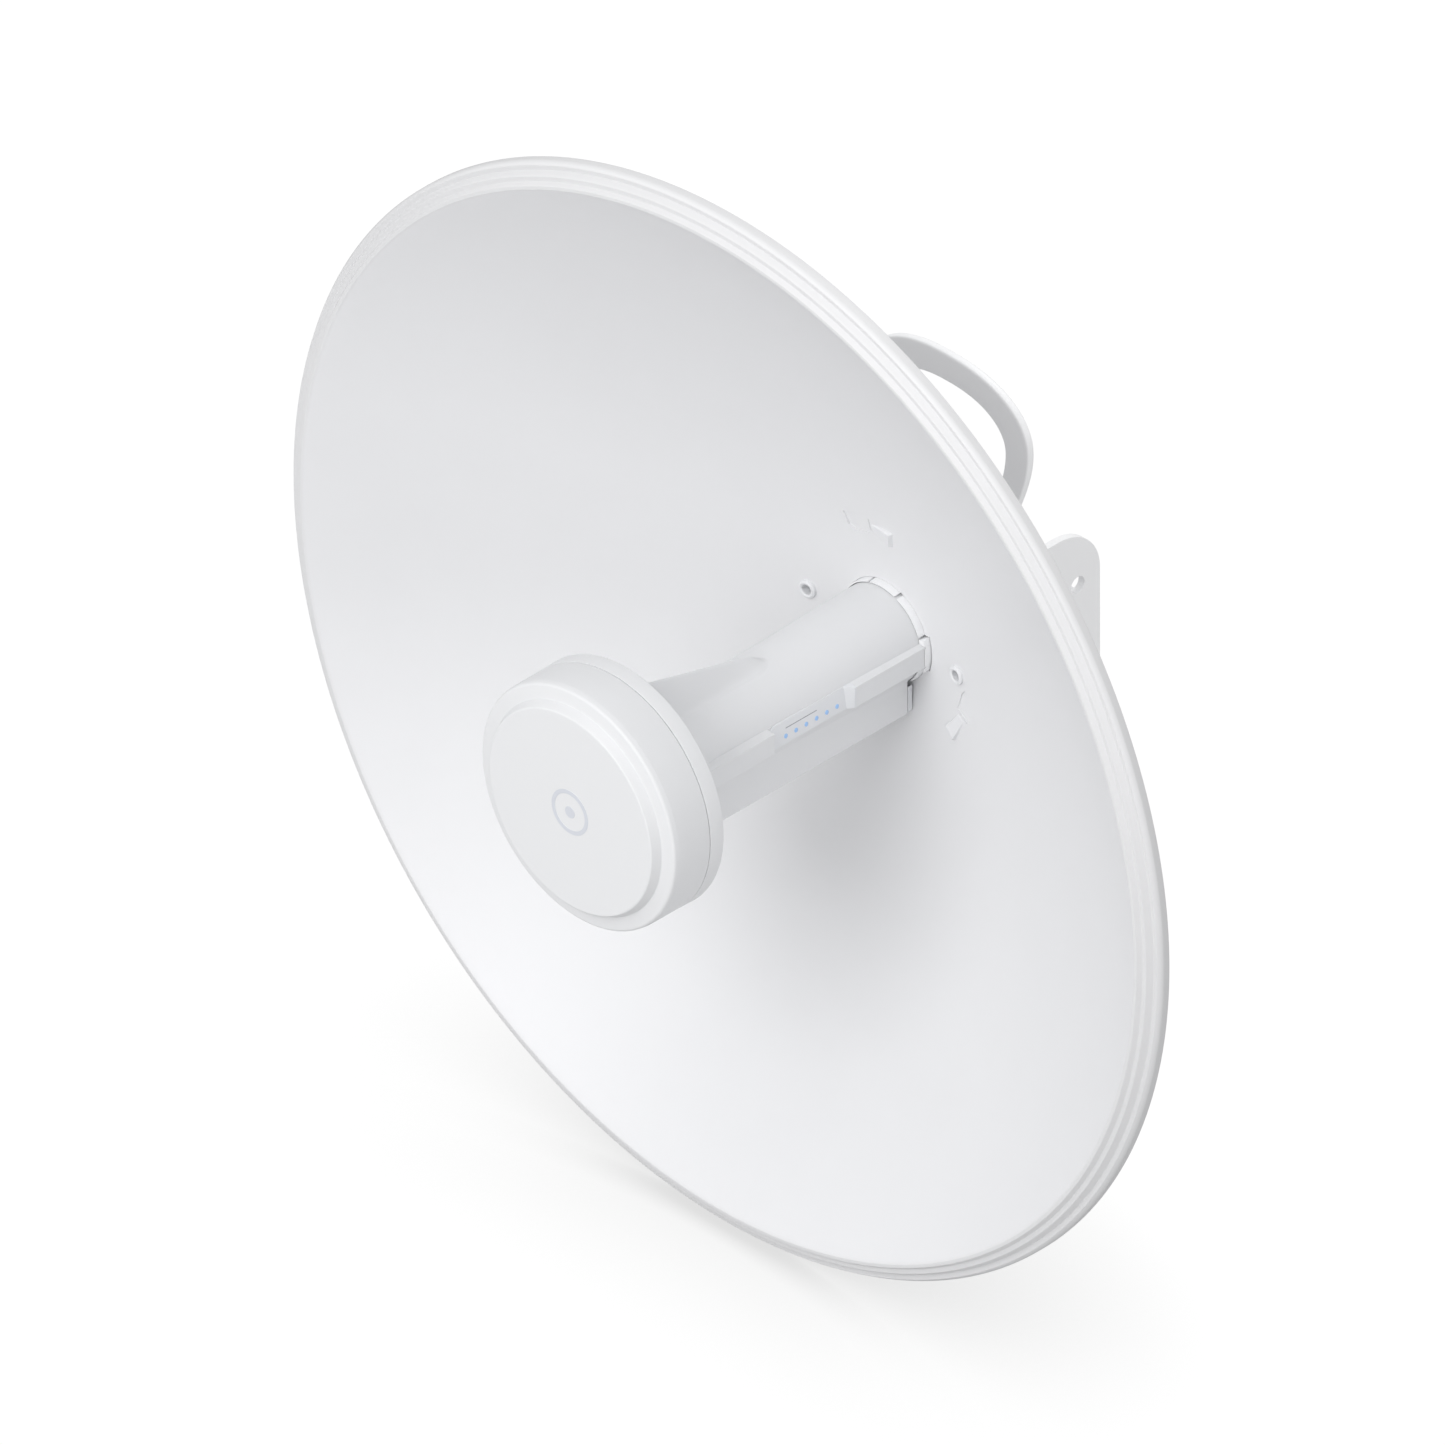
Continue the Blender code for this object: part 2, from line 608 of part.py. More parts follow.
def build_lower_tube():
    """The lower half, with a hollow box below it and a rail along each side."""
    lower = join(tube_solid("feed_tube_lower"),
                 box("underbox", (-BOX_X, -49.4, BOX_Z), (BOX_X, BOX_REAR, 0.2)),
                 box("rails", (-RAIL_X, -49.3, -RAIL_Z), (RAIL_X, TUBE_END - 0.1, RAIL_Z + 3)))
    room_x = BOX_X - BOX_WALL
    lower = cut(lower, tube_hollow(),
                box("above_seam", (-60, -70, RAIL_Z), (60, 90, 60)),
                box("box_room", (-room_x, -42, BOX_Z + BOX_WALL),
                    (room_x, BOX_REAR - BOX_WALL, 1)),
                box("window_room", (17.9, WINDOW_Y[0] - GAP, -RAIL_Z - 1),
                    (25, WINDOW_Y[1] + GAP, RAIL_Z + 1)),
                box("pipe_room", (13.5, 5.4, -2.2), (18.6, 36.6, 1.4)),
                *rods_along_z("reset_hole", [RESET_Y], -30, -20, 2.9, sides=20),
                *tube_screw_holes(HEAD_SCREW_AT[2:]))
    # the board's bosses stand on the floor of the box
    lower = join(lower, *rods_along_z("boss", BOARD_SCREW_Y, BOX_Z + 1.2, -7.8, 3.0, sides=16))
    cut(lower, *rods_along_z("boss_hole", BOARD_SCREW_Y, -18, -6, 1.5, sides=12))


def build_led_window():
    """The window in the +X rail and the light pipe on its inner side."""
    cut(plate("led_window", [WINDOW], 'Y', *WINDOW_Y, GREY),
        *[rod("led_hole", (10, y, LED_Z), (30, y, LED_Z), 1.0, sides=8) for y in LED_Y])
    pipe = box("light_pipe", (15.4, LED_Y[0] - 2, LED_Z - 0.8),
               (17.4, LED_Y[-1] + 2, LED_Z + 0.8), CLEAR)
    join(pipe, *[rod("finger", (16.4, y, LED_Z), (19.35, y, LED_Z), 0.7, sides=8)
                 for y in LED_Y])


def build_tail():
    cut(turned("feed_tail", TAIL, SHELL, 32),
        box("port", (-8.3, 90, -7.7), (8.3, 104, 8.3)))


# ---------------------------------------------------------------- electronics
# Profiles are (radius, z).
BOARD_SCREW = [(0, -16.0), (1.2, -16.0), (1.2, -5.5), (2.5, -5.5), (2.5, -4.4),
               (2.2, -4.0), (0, -4.0)]
RESET_BUTTON = [(0, -27.5), (2.2, -27.5), (2.5, -27.2), (2.5, -24.2), (3.5, -24.2),
                (3.5, -23.2), (1.2, -23.2), (1.2, -12.1), (0, -12.1)]
# (x, y, z) of the +X coax, from the antenna board rearwards
COAX = [(5, -61.9, -3.0), (5, -52, -3.0), (5.5, -46, -3.6), (6, -40, -4.6), (6, -34, -4.6)]
SHIELD_X, SHIELD_Y, SHIELD_TOP = 8.4, 22, -1.4
SHIELD_WALL = 0.4


def build_main_board():
    cut(box("main_board", (-9.4, -45.0, -7.4), (9.4, 95.0, -5.8), BOARD),
        *rods_along_z("screw_hole", BOARD_SCREW_Y, -9, -4, 1.5, sides=12))
    for i, y in enumerate(BOARD_SCREW_Y, 1):
        turned(f"board_screw_{i}", BOARD_SCREW, ZINC, 10, axis='Z', at=(0, y, 0))


def build_shield():
    """A tin lid on the board, open below."""
    room_x, room_y = SHIELD_X - SHIELD_WALL, SHIELD_Y - SHIELD_WALL
    cut(box("rf_shield", (-SHIELD_X, -SHIELD_Y, -5.5), (SHIELD_X, SHIELD_Y, SHIELD_TOP), TIN),
        box("shield_room", (-room_x, -room_y, -6.5), (room_x, room_y, SHIELD_TOP - SHIELD_WALL)))


def build_jack():
    cut(box("network_jack", (-7.9, 76.6, -5.5), (7.9, 97.4, 7.8), TIN),
        box("plug_room", (-6.0, 84, -3.6), (6.0, 99, 4.4)),
        box("clip_room", (-3.2, 84, 4.2), (3.2, 99, 6.0)))


def build_coax():
    for side, sign in (("left", -1), ("right", 1)):
        wire(f"feed_coax_{side}", [(sign * x, y, z) for x, y, z in COAX], 0.8, BLACK_PLASTIC)


def build_latch():
    """A plate behind the box, hollowed round the tube, with a nose to the rear."""
    latch = join(box("release_latch", (-13.6, 72.4, -26.8), (13.6, 74.2, -13.0), GREY),
                 box("nose", (-4.6, 73.8, -24.4), (4.6, 79.2, -18.2)))
    cut(latch, rod("tube_room", (0, 60, -2.1), (0, 90, -2.1), 19.2, sides=40))


def build_reset():
    turned("reset_button", RESET_BUTTON, GREY, 12, axis='Z', at=(0, RESET_Y, 0))
    box("reset_switch", (-3.0, RESET_Y - 3, -11.0), (3.0, RESET_Y + 3, -7.7), BLACK_PLASTIC)


# ---------------------------------------------------------------- pole bracket
WEB_LOW, WEB_TOP = -78, -16
WEB = [(-FLANGE_X, WEB_LOW), (FLANGE_X, WEB_LOW), (FLANGE_X, WEB_TOP), (-FLANGE_X, WEB_TOP)]
SLOT_X, SLOT_Z = 15.5, 19   # slot centres, from the middle of the web
# side view (y, z), along the web and then round the front
FLANGE = [(FACE_Y, WEB_LOW), (FACE_Y, WEB_TOP), (144, WEB_TOP), (110, -36), (92, -46),
          (91, -58), (93, -69), (100, WEB_LOW)]
LOCK_AT = on_circle(*PIVOT, LOCK_RADIUS, LOCK_ANGLE)
WASHER_X = ARM_X + GAP      # inner face of the washers
WASHER_OUT_X = WASHER_X + 0.8
BOLT_X = WASHER_OUT_X + GAP   # inner face of bolt heads and nuts


def build_pole_bracket():
    """A slotted web with a flange running forwards at each side."""
    slots = [upright_slot(side * SLOT_X, FACE_Z + level * SLOT_Z, 3.4, 15)
             for side in (-1, 1) for level in (-1, 1)]
    pole = plate("pole_bracket", [WEB] + slots, 'Y', FACE_Y - STEEL, FACE_Y, PAINTED)
    holes = [circle(*PIVOT, PIVOT_R + GAP), circle(*LOCK_AT, LOCK_R + GAP, 16)]
    for sign in (-1, 1):
        pole = join(pole, plate("flange", [FLANGE] + holes, 'X',
                                sign * FLANGE_IN_X, sign * FLANGE_X))


def build_bolt_set(prefix, at, radius, across, head, nut, washer_r):
    """A through bolt along X at (y, z), its head on the +X side, nut and washers."""
    hole = circle(*at, radius + GAP, 16)
    bolt = plate(prefix + "_bolt", [hexagon(*at, across)], 'X', BOLT_X, BOLT_X + head, ZINC)
    join(bolt, rod("shank", (-(BOLT_X + nut + 2.5), *at), (BOLT_X + 0.5, *at), radius))
    plate(prefix + "_nut", [hexagon(*at, across), hole], 'X', -(BOLT_X + nut), -BOLT_X, ZINC)
    for side, sign in (("left", -1), ("right", 1)):
        plate(f"{prefix}_washer_{side}", [circle(*at, washer_r), hole], 'X',
              sign * WASHER_X, sign * WASHER_OUT_X, ZINC)


# ---------------------------------------------------------------- joints
FIXED_PREFIXES = ("pole_", "pivot_", "lock_")
DISH_PREFIXES = ("dish_", "hub_", "rear_cap", "cable_", "carry_", "loop_")


def new_axis(name, x, y, z):
    axis = bpy.data.objects.new(name, None)
    axis.location = place(x, y, z)
    parts.objects.link(axis)
    return axis


def attach_to_axes():
    """Hang the dish on the tilt axis and the feed on its own axis."""
    tilt_axis = new_axis("tilt_axis", 0, *PIVOT)
    feed_axis = new_axis("feed_axis", 0, TUBE_END, 0)
    feed_axis.parent = tilt_axis
    feed_axis.matrix_parent_inverse = Matrix.Translation(-tilt_axis.location)
    bpy.context.view_layer.update()
    for obj in list(parts.objects):
        if obj.type != 'MESH' or obj.name.startswith(FIXED_PREFIXES):
            continue
        holder = tilt_axis if obj.name.startswith(DISH_PREFIXES) else feed_axis
        matrix = obj.matrix_world.copy()
        obj.parent = holder
        obj.matrix_parent_inverse = holder.matrix_world.inverted()
        obj.matrix_world = matrix


# ---------------------------------------------------------------- build
build_reflector()
build_hub_adapter()
build_rear_cap()
build_grommet()
build_hub_eyelets()
build_dish_bracket()
build_carry_loop()
build_loop_rivets()

build_head_shell()
build_antenna()
build_head_fasteners()
build_upper_tube()
build_lower_tube()
build_led_window()
build_tail()
build_main_board()
build_shield()
build_jack()
build_coax()
build_latch()
build_reset()

build_pole_bracket()
build_bolt_set("pivot", PIVOT, PIVOT_R, across=13.0, head=5.3, nut=6.5, washer_r=8.0)
build_bolt_set("lock", LOCK_AT, LOCK_R, across=10.0, head=4.0, nut=5.0, washer_r=6.0)
attach_to_axes()
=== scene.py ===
# A round dish antenna: a pressed bowl with a feed tube on its axis, a hub and
# tilt frame behind it, a carry loop above and a pole bracket below.
# The dish axis runs along Y. The bowl opens forwards, to -Y, where the feed head
# stands; the brackets lie behind, to +Y. X runs from left (-) to right (+), Z up.
# Shapes are in mm, measured from the dish axis and the middle of the rim skirt.
import json
import math
import bpy
import bmesh
from mathutils import Matrix, Vector


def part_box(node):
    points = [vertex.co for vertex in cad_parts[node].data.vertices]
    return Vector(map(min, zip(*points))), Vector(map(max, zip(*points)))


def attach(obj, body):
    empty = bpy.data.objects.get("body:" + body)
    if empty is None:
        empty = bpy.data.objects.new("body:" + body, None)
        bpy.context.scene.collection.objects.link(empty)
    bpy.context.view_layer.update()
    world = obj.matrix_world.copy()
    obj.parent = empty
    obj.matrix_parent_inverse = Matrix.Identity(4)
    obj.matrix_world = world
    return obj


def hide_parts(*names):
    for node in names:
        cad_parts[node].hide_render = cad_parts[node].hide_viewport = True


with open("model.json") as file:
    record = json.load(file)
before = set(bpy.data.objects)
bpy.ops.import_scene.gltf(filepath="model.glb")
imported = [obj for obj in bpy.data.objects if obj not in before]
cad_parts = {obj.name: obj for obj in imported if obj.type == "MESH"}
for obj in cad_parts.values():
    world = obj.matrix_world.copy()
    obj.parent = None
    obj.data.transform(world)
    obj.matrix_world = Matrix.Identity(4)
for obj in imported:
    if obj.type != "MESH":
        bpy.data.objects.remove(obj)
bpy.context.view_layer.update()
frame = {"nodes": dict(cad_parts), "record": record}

MM = 0.001
DISH_LOW, DISH_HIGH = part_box("dish_reflector")
AXIS_Z = (DISH_LOW.z + DISH_HIGH.z) / 2
RIM_Y = DISH_LOW.y + 6.0643 * MM     # the middle of the rim skirt
SIDES = (("left", -1), ("right", 1))

# sizes shared by several pieces
RIM_RADIUS = 210.0
EYELET_X = 36.0                      # the eyelets and the holes behind them
RIVET = (107.1, 13.0)                # (y, z) of the carry loop's rivets
RIVET_HOLE = 2.3
PIVOT = (118.0, -58.0)               # (y, z) of the tilt pivot
PIVOT_HOLE = 4.3
LOCK_RADIUS = 27.0                   # from the pivot to the lock bolt and its slot
LOCK_HOLE = 3.3
SHEET = 3.0                          # thickness of the bracket sheets

scene = bpy.context.scene
looks = bpy.data.collections.new("looks")
scene.collection.children.link(looks)


def place(x, y, z):
    """A point in mm from the dish axis and the rim skirt, in the frame."""
    return Vector((x * MM, RIM_Y + y * MM, AXIS_Z + z * MM))


# ------------------------------------------------------------------ shader nodes
FACTOR, COLOUR_A, COLOUR_B, COLOUR_OUT = 0, 6, 7, 2    # sockets of a colour mix


def set_inputs(node, inputs):
    """Link each input that is given a socket and set each one given a value."""
    for key, value in inputs.items():
        if isinstance(value, bpy.types.NodeSocket):
            node.id_data.links.new(value, node.inputs[key])
        else:
            node.inputs[key].default_value = value


def add_node(tree, kind, inputs=None, **attributes):
    node = tree.nodes.new("ShaderNode" + kind)
    for key, value in attributes.items():
        setattr(node, key, value)
    set_inputs(node, inputs or {})
    return node


def rgba(colour, gain=1.0, offset=0.0):
    return (*[min(1.0, c * gain + offset) for c in colour], 1)


def mix_colour(tree, factor, first, second):
    mix = add_node(tree, "Mix", data_type='RGBA')
    set_inputs(mix, {FACTOR: factor, COLOUR_A: first, COLOUR_B: second})
    return mix.outputs[COLOUR_OUT]


def ramp(tree, value, start, end):
    """0 where the value is at start, 1 where it is at end."""
    return add_node(tree, "MapRange", {"From Min": start, "From Max": end,
                                       "Value": value}).outputs[0]


def paint_facing_light_shade(tree, geometry, colour, front):
    """Painted light and shade by facing: the faces that look forwards, to -Y, get another
    colour that stands for the light or shade on them.
    """
    facing = add_node(tree, "SeparateXYZ", {0: geometry.outputs["Normal"]})
    share = ramp(tree, facing.outputs["Y"], -0.55, -0.92)
    return mix_colour(tree, share, colour, rgba(front))


def paint_rim_shade(tree, coord, colour, rim):
    """Painted shade on the rim, by its distance from the dish axis in metres: darker from its
    inner edge out, and darker again on its outer wall.
    """
    flat = add_node(tree, "VectorMath", {0: coord.outputs["Object"], 1: (1.0, 0.0, 1.0),
                                         2: (0.0, 0.0, -AXIS_Z)}, operation='MULTIPLY_ADD')
    radius = add_node(tree, "VectorMath", {0: flat.outputs[0]}, operation='LENGTH')
    share = ramp(tree, radius.outputs["Value"], 0.2004, 0.2018)
    colour = mix_colour(tree, share, colour, rgba(rim))
    share = ramp(tree, radius.outputs["Value"], 0.2092, 0.2099)
    return mix_colour(tree, share, colour, rgba(rim, gain=0.87))


def surface(name, colour, rough, metal=0.0, grain=0.00035, grain_depth=0.000012, speck=0.02,
            rough_var=0.08, wear=0.05, coat=0.0, cloud_size=0.03, streak=False, front=None,
            rim=None):
    """A procedural material: cloudy colour and roughness, a fine surface grain
    and slightly brighter worn edges. With front, the forward faces get painted light or painted
    shade; with rim, the rim gets painted shade. Grain and cloud sizes are in metres."""
    mat = bpy.data.materials.new(name)
    mat.use_nodes = True
    tree = mat.node_tree
    tree.nodes.clear()
    output = add_node(tree, "OutputMaterial")
    bsdf = add_node(tree, "BsdfPrincipled")
    set_inputs(output, {0: bsdf.outputs[0]})
    geometry = add_node(tree, "NewGeometry")
    coord = add_node(tree, "TexCoord")
    position = coord.outputs["Object"]
    cloud = add_node(tree, "TexNoise", {"Scale": 1 / cloud_size, "Detail": 4,
                                        "Vector": position})
    fine = add_node(tree, "TexNoise", {"Scale": 1 / grain, "Detail": 3, "Roughness": 0.6})
    if streak:
        # the grain is drawn out along X
        position = add_node(tree, "Mapping", {"Scale": (0.08, 1.0, 1.0),
                                              "Vector": position}).outputs[0]
    set_inputs(fine, {"Vector": position})

    tint = mix_colour(tree, cloud.outputs["Fac"], rgba(colour, gain=1 - speck),
                      rgba(colour, gain=1 + speck))
    edge = ramp(tree, geometry.outputs["Pointiness"], 0.52, 0.62)
    rubbed = add_node(tree, "Math", {0: edge, 1: wear}, operation='MULTIPLY')
    tint = mix_colour(tree, rubbed.outputs[0], tint, rgba(colour, gain=1.18, offset=0.03))
    # front: painted highlight or painted shade on the faces that look forwards
    if front:
        tint = paint_facing_light_shade(tree, geometry, tint, front)
    # rim: painted shade on the rim and its outer wall
    elif rim:
        tint = paint_rim_shade(tree, coord, tint, rim)

    # roughness follows the mean of the two noises
    roughness = add_node(tree, "MapRange", {"To Min": rough - rough_var,
                                            "To Max": rough + rough_var})
    mean = add_node(tree, "Math", operation='ADD')
    for i, noise in enumerate((cloud, fine)):
        half = add_node(tree, "Math", {0: noise.outputs["Fac"], 1: 0.5}, operation='MULTIPLY')
        set_inputs(mean, {i: half.outputs[0]})
    set_inputs(roughness, {"Value": mean.outputs[0]})
    bump = add_node(tree, "Bump", {"Strength": 0.6, "Distance": grain_depth,
                                   "Height": fine.outputs["Fac"]})
    set_inputs(bsdf, {"Base Color": tint, "Roughness": roughness.outputs[0],
                      "Normal": bump.outputs[0], "Metallic": metal,
                      "Specular IOR Level": 0.5})
    if coat:
        set_inputs(bsdf, {"Coat Weight": coat, "Coat Roughness": 0.25})
    return mat


# ------------------------------------------------------------------ materials
POWDER = dict(rough=0.42, grain=0.0007, grain_depth=0.000018, speck=0.010, wear=0.0)
MOULDED = dict(rough=0.46, grain=0.00028, grain_depth=0.000010, speck=0.008, wear=0.0)
PRINTED = dict(rough=0.5, grain=0.0003, grain_depth=0.000004, speck=0.02, wear=0.0)

# Some pieces of one powder coat or one white plastic get their own tone that stands for the
# light on them: bright_steel (the tilt frame), hub_plastic and the loop's sides are lighter,
# painted light; tube_plastic and head_plastic are darker, painted shade.
MATERIALS = {
    "painted_steel": surface("powder_coat", (0.80, 0.805, 0.82), **POWDER),
    "bright_steel": surface("powder_coat_painted_light", (0.955, 0.957, 0.962), **POWDER),
    # the bowl's rim gets painted shade
    "bowl_steel": surface("powder_coat_bowl", (0.798, 0.80, 0.812), **POWDER,
                          rim=(0.737, 0.737, 0.744)),
    "tube_plastic": surface("moulded_tube", (0.75, 0.755, 0.765), **MOULDED),
    # the head's forward face is lighter, a painted highlight; the carry loop's forward face is
    # darker, painted shade from the dish
    "head_plastic": surface("moulded_head", (0.735, 0.74, 0.75), **MOULDED,
                            front=(0.80, 0.805, 0.815)),
    "loop_plastic": surface("moulded_loop", (0.945, 0.947, 0.952), **{**MOULDED, "rough": 0.40},
                            front=(0.695, 0.695, 0.70)),
    "hub_plastic": surface("moulded_hub", (0.87, 0.875, 0.885), **{**MOULDED, "rough": 0.44}),
    "white_plastic": surface("moulded_white", (0.80, 0.805, 0.815), **MOULDED),
    "grey_plastic": surface("moulded_light_grey", (0.74, 0.75, 0.77), rough=0.42,
                            grain=0.0003, grain_depth=0.000008, speck=0.01, wear=0.0),
    "zinc_steel": surface("zinc_plate", (0.64, 0.65, 0.66), rough=0.34, metal=1.0,
                          grain=0.0004, grain_depth=0.000006, speck=0.06, rough_var=0.12,
                          wear=0.4, cloud_size=0.004),
    "circuit_board": surface("solder_mask", (0.03, 0.20, 0.08), rough=0.38, grain=0.0012,
                             grain_depth=0.00002, speck=0.08, coat=0.3),
    "copper": surface("copper_plate", (0.82, 0.52, 0.30), rough=0.3, metal=1.0, speck=0.06,
                      streak=True),
    "black_rubber": surface("rubber", (0.028, 0.028, 0.030), rough=0.78, grain=0.0002,
                            grain_depth=0.00002, speck=0.1),
    "black_plastic": surface("black_moulding", (0.03, 0.03, 0.034), rough=0.45,
                             grain=0.0003, speck=0.06),
    "tin_plate": surface("tin_plate", (0.74, 0.75, 0.76), rough=0.28, metal=1.0,
                         grain=0.0006, grain_depth=0.000004, speck=0.04, rough_var=0.1,
                         streak=True),
    "mark": surface("printed_grey", (0.66, 0.68, 0.73), **PRINTED),
    "scale": surface("printed_dark_grey", (0.30, 0.31, 0.34), **PRINTED),
    "light_pipe": surface("lit_pipe", (0.33, 0.50, 0.74), rough=0.22, grain=0.0003,
                          grain_depth=0.000003, speck=0.03),
}
# the light pipe is lit a soft blue
set_inputs(MATERIALS["light_pipe"].node_tree.nodes["Principled BSDF"],
           {"Emission Color": (0.16, 0.36, 1.0, 1), "Emission Strength": 0.12})

NODE_SLOTS = {s["node"]: s["material_slot"] for s in frame["record"]["subparts"]}


def shade(obj, slot, sharp=32):
    """Give the object its material, smooth but for edges over sharp degrees."""
    obj.data.materials.clear()
    obj.data.materials.append(MATERIALS[slot])
    obj.data.shade_smooth()
    obj.data.set_sharp_from_angle(angle=math.radians(sharp))


for node_name, node_obj in frame["nodes"].items():
    shade(node_obj, NODE_SLOTS[node_name])


# ------------------------------------------------------------------ outlines
def unit(value):
    """The value held between 0 and 1."""
    return max(0.0, min(1.0, value))


def soft_max(a, b, reach):
    """A maximum with a fillet of about reach."""
    near = max(reach - abs(a - b), 0.0) / reach
    return max(a, b) + near * near * reach * 0.25


def soft_min(a, b, reach):
    return -soft_max(-a, -b, reach)


def polar(radius, degrees, u=0, v=0):
    angle = math.radians(degrees)
    return (u + radius * math.cos(angle), v + radius * math.sin(angle))


def arc(u, v, radius, start, end, steps=12):
    return [polar(radius, start + (end - start) * i / steps, u, v) for i in range(steps + 1)]


def circle(u, v, radius, steps=48):
    return arc(u, v, radius, 0, 360, steps)[:-1]


def fillet(points, closed=False, steps=5):
    """Round the corners of an outline. Each point is (u, v) or (u, v, radius)."""
    count = len(points)
    result = []
    for i, point in enumerate(points):
        radius = point[2] if len(point) > 2 else 0.0
        if radius <= 0 or (not closed and i in (0, count - 1)):
            result.append((point[0], point[1]))
            continue
        corner = Vector(point[:2])
        back = Vector(points[(i - 1) % count][:2]) - corner
        ahead = Vector(points[(i + 1) % count][:2]) - corner
        back_length, ahead_length = back.length, ahead.length
        back.normalize()
        ahead.normalize()
        angle = math.acos(max(-1.0, min(1.0, back.dot(ahead))))
        if angle > math.pi - 0.01:
            result.append((point[0], point[1]))
            continue
        cut = min(radius / math.tan(angle / 2), back_length * 0.49, ahead_length * 0.49)
        radius = cut * math.tan(angle / 2)
        start, end = corner + back * cut, corner + ahead * cut
        centre = corner + (back + ahead).normalized() * (radius / math.sin(angle / 2))
        first = math.atan2(start.y - centre.y, start.x - centre.x)
        last = math.atan2(end.y - centre.y, end.x - centre.x)
        turn = (last - first + math.pi) % (2 * math.pi) - math.pi
        for k in range(steps + 1):
            a = first + turn * k / steps
            result.append((centre.x + radius * math.cos(a), centre.y + radius * math.sin(a)))
    return result


# ------------------------------------------------------------------ mesh tools
def tidy(mesh, weld=None, flatten=False):
    """Weld points and turn the faces outwards, then join flat faces."""
    bm = bmesh.new()
    bm.from_mesh(mesh)
    if weld:
        bmesh.ops.remove_doubles(bm, verts=bm.verts, dist=weld)
        bmesh.ops.recalc_face_normals(bm, faces=bm.faces)
    if flatten:
        bmesh.ops.dissolve_limit(bm, angle_limit=math.radians(1), verts=bm.verts,
                                 edges=bm.edges)
    bm.to_mesh(mesh)
    bm.free()


def evaluated_mesh(obj):
    bpy.context.view_layer.update()
    depsgraph = bpy.context.evaluated_depsgraph_get()
    return bpy.data.meshes.new_from_object(obj.evaluated_get(depsgraph))


def apply_modifiers(obj):
    mesh = evaluated_mesh(obj)
    obj.modifiers.clear()
    obj.data = mesh


def dress(obj, slot, body, *nodes, sharp=32):
    """Finish a piece that rides on a body in place of CAD nodes. Without a
    body it is only a part or a tool, and is left bare."""
    if body is None:
        return obj
    shade(obj, slot, sharp)
    if nodes:
        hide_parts(*nodes)
    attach(obj, body)
    return obj


def make(name, verts, faces, slot=None, body=None, *nodes, sharp=32):
    """A mesh piece in the frame, from points in mm."""
    mesh = bpy.data.meshes.new(name)
    mesh.from_pydata([place(*v) for v in verts], [], faces)
    mesh.validate()
    tidy(mesh, weld=1e-7)
    obj = bpy.data.objects.new(name, mesh)
    looks.objects.link(obj)
    return dress(obj, slot, body, *nodes, sharp=sharp)


def lathe(name, profile, slot=None, body=None, *nodes, steps=160, axis='Y', at=(0, 0, 0),
          sharp=32):
    """A piece turned about Y or X from (radius, distance) points in mm. A profile
    that starts and ends at radius 0 is closed by the axis, any other by itself."""
    verts, faces, rings = [], [], []
    for radius, along in profile:
        count = steps if radius else 1
        rings.append(range(len(verts), len(verts) + count))
        for k in range(count):
            a = 2 * math.pi * k / steps
            u, v = radius * math.cos(a), radius * math.sin(a)
            offset = (u, along, v) if axis == 'Y' else (along, u, v)
            verts.append(tuple(p + q for p, q in zip(at, offset)))
    pairs = list(zip(rings, rings[1:]))
    if profile[0][0] != 0 or profile[-1][0] != 0:
        pairs.append((rings[-1], rings[0]))
    for a, b in pairs:
        for k in range(steps):
            j = (k + 1) % steps
            if len(a) == 1:
                faces.append((a[0], b[j], b[k]))
            elif len(b) == 1:
                faces.append((a[k], a[j], b[0]))
            else:
                faces.append((a[k], a[j], b[j], b[k]))
    return make(name, verts, faces, slot, body, *nodes, sharp=sharp)


def loft(rings, capped=False):
    """Points and faces of a skin through closed rings of equal counts."""
    count = len(rings[0])
    verts = [point for ring in rings for point in ring]
    last = len(verts) - count
    faces = []
    for a in range(0, last, count):
        b = a + count
        for k in range(count):
            j = (k + 1) % count
            faces.append((a + k, a + j, b + j, b + k))
    if capped:
        faces.append(tuple(range(count)))
        faces.append(tuple(reversed(range(last, last + count))))
    return verts, faces


def plate(name, loops, plane, start, end, slot=None, body=None, *nodes, bevel=0.0, segments=3):
    """A flat plate from closed outlines in mm: plane X takes (y, z) and plane Y
    takes (x, z). Its broad edges can be rounded."""
    curve = bpy.data.curves.new(name, 'CURVE')
    curve.dimensions = '2D'
    curve.fill_mode = 'BOTH'
    curve.extrude = abs(end - start) * MM / 2
    for loop in loops:
        spline = curve.splines.new('POLY')
        spline.points.add(len(loop) - 1)
        for point, (u, v) in zip(spline.points, loop):
            point.co = (u * MM, v * MM, 0, 1)
        spline.use_cyclic_u = True
    flat = bpy.data.objects.new(name, curve)
    scene.collection.objects.link(flat)
    mesh = evaluated_mesh(flat)
    bpy.data.objects.remove(flat, do_unlink=True)
    middle = (start + end) / 2 * MM
    origin = place(0, 0, 0)
    if plane == 'X':
        rows = ((0, 0, 1, middle), (1, 0, 0, origin.y), (0, 1, 0, origin.z), (0, 0, 0, 1))
    else:
        rows = ((1, 0, 0, 0), (0, 0, -1, origin.y + middle), (0, 1, 0, origin.z), (0, 0, 0, 1))
    mesh.transform(Matrix(rows))
    tidy(mesh, weld=1e-6, flatten=True)
    mesh.name = name
    obj = bpy.data.objects.new(name, mesh)
    looks.objects.link(obj)
    if bevel:
        round_edges(obj, bevel, segments)
    return dress(obj, slot, body, *nodes)


def round_edges(obj, width, segments):
    """Bevel the sharp edges and keep the result as the object's mesh."""
    bevel = obj.modifiers.new("edges", 'BEVEL')
    bevel.width = width * MM
    bevel.segments = segments
    bevel.limit_method = 'ANGLE'
    bevel.angle_limit = math.radians(50)
    bevel.miter_outer = 'MITER_ARC'
    bevel.use_clamp_overlap = True
    apply_modifiers(obj)


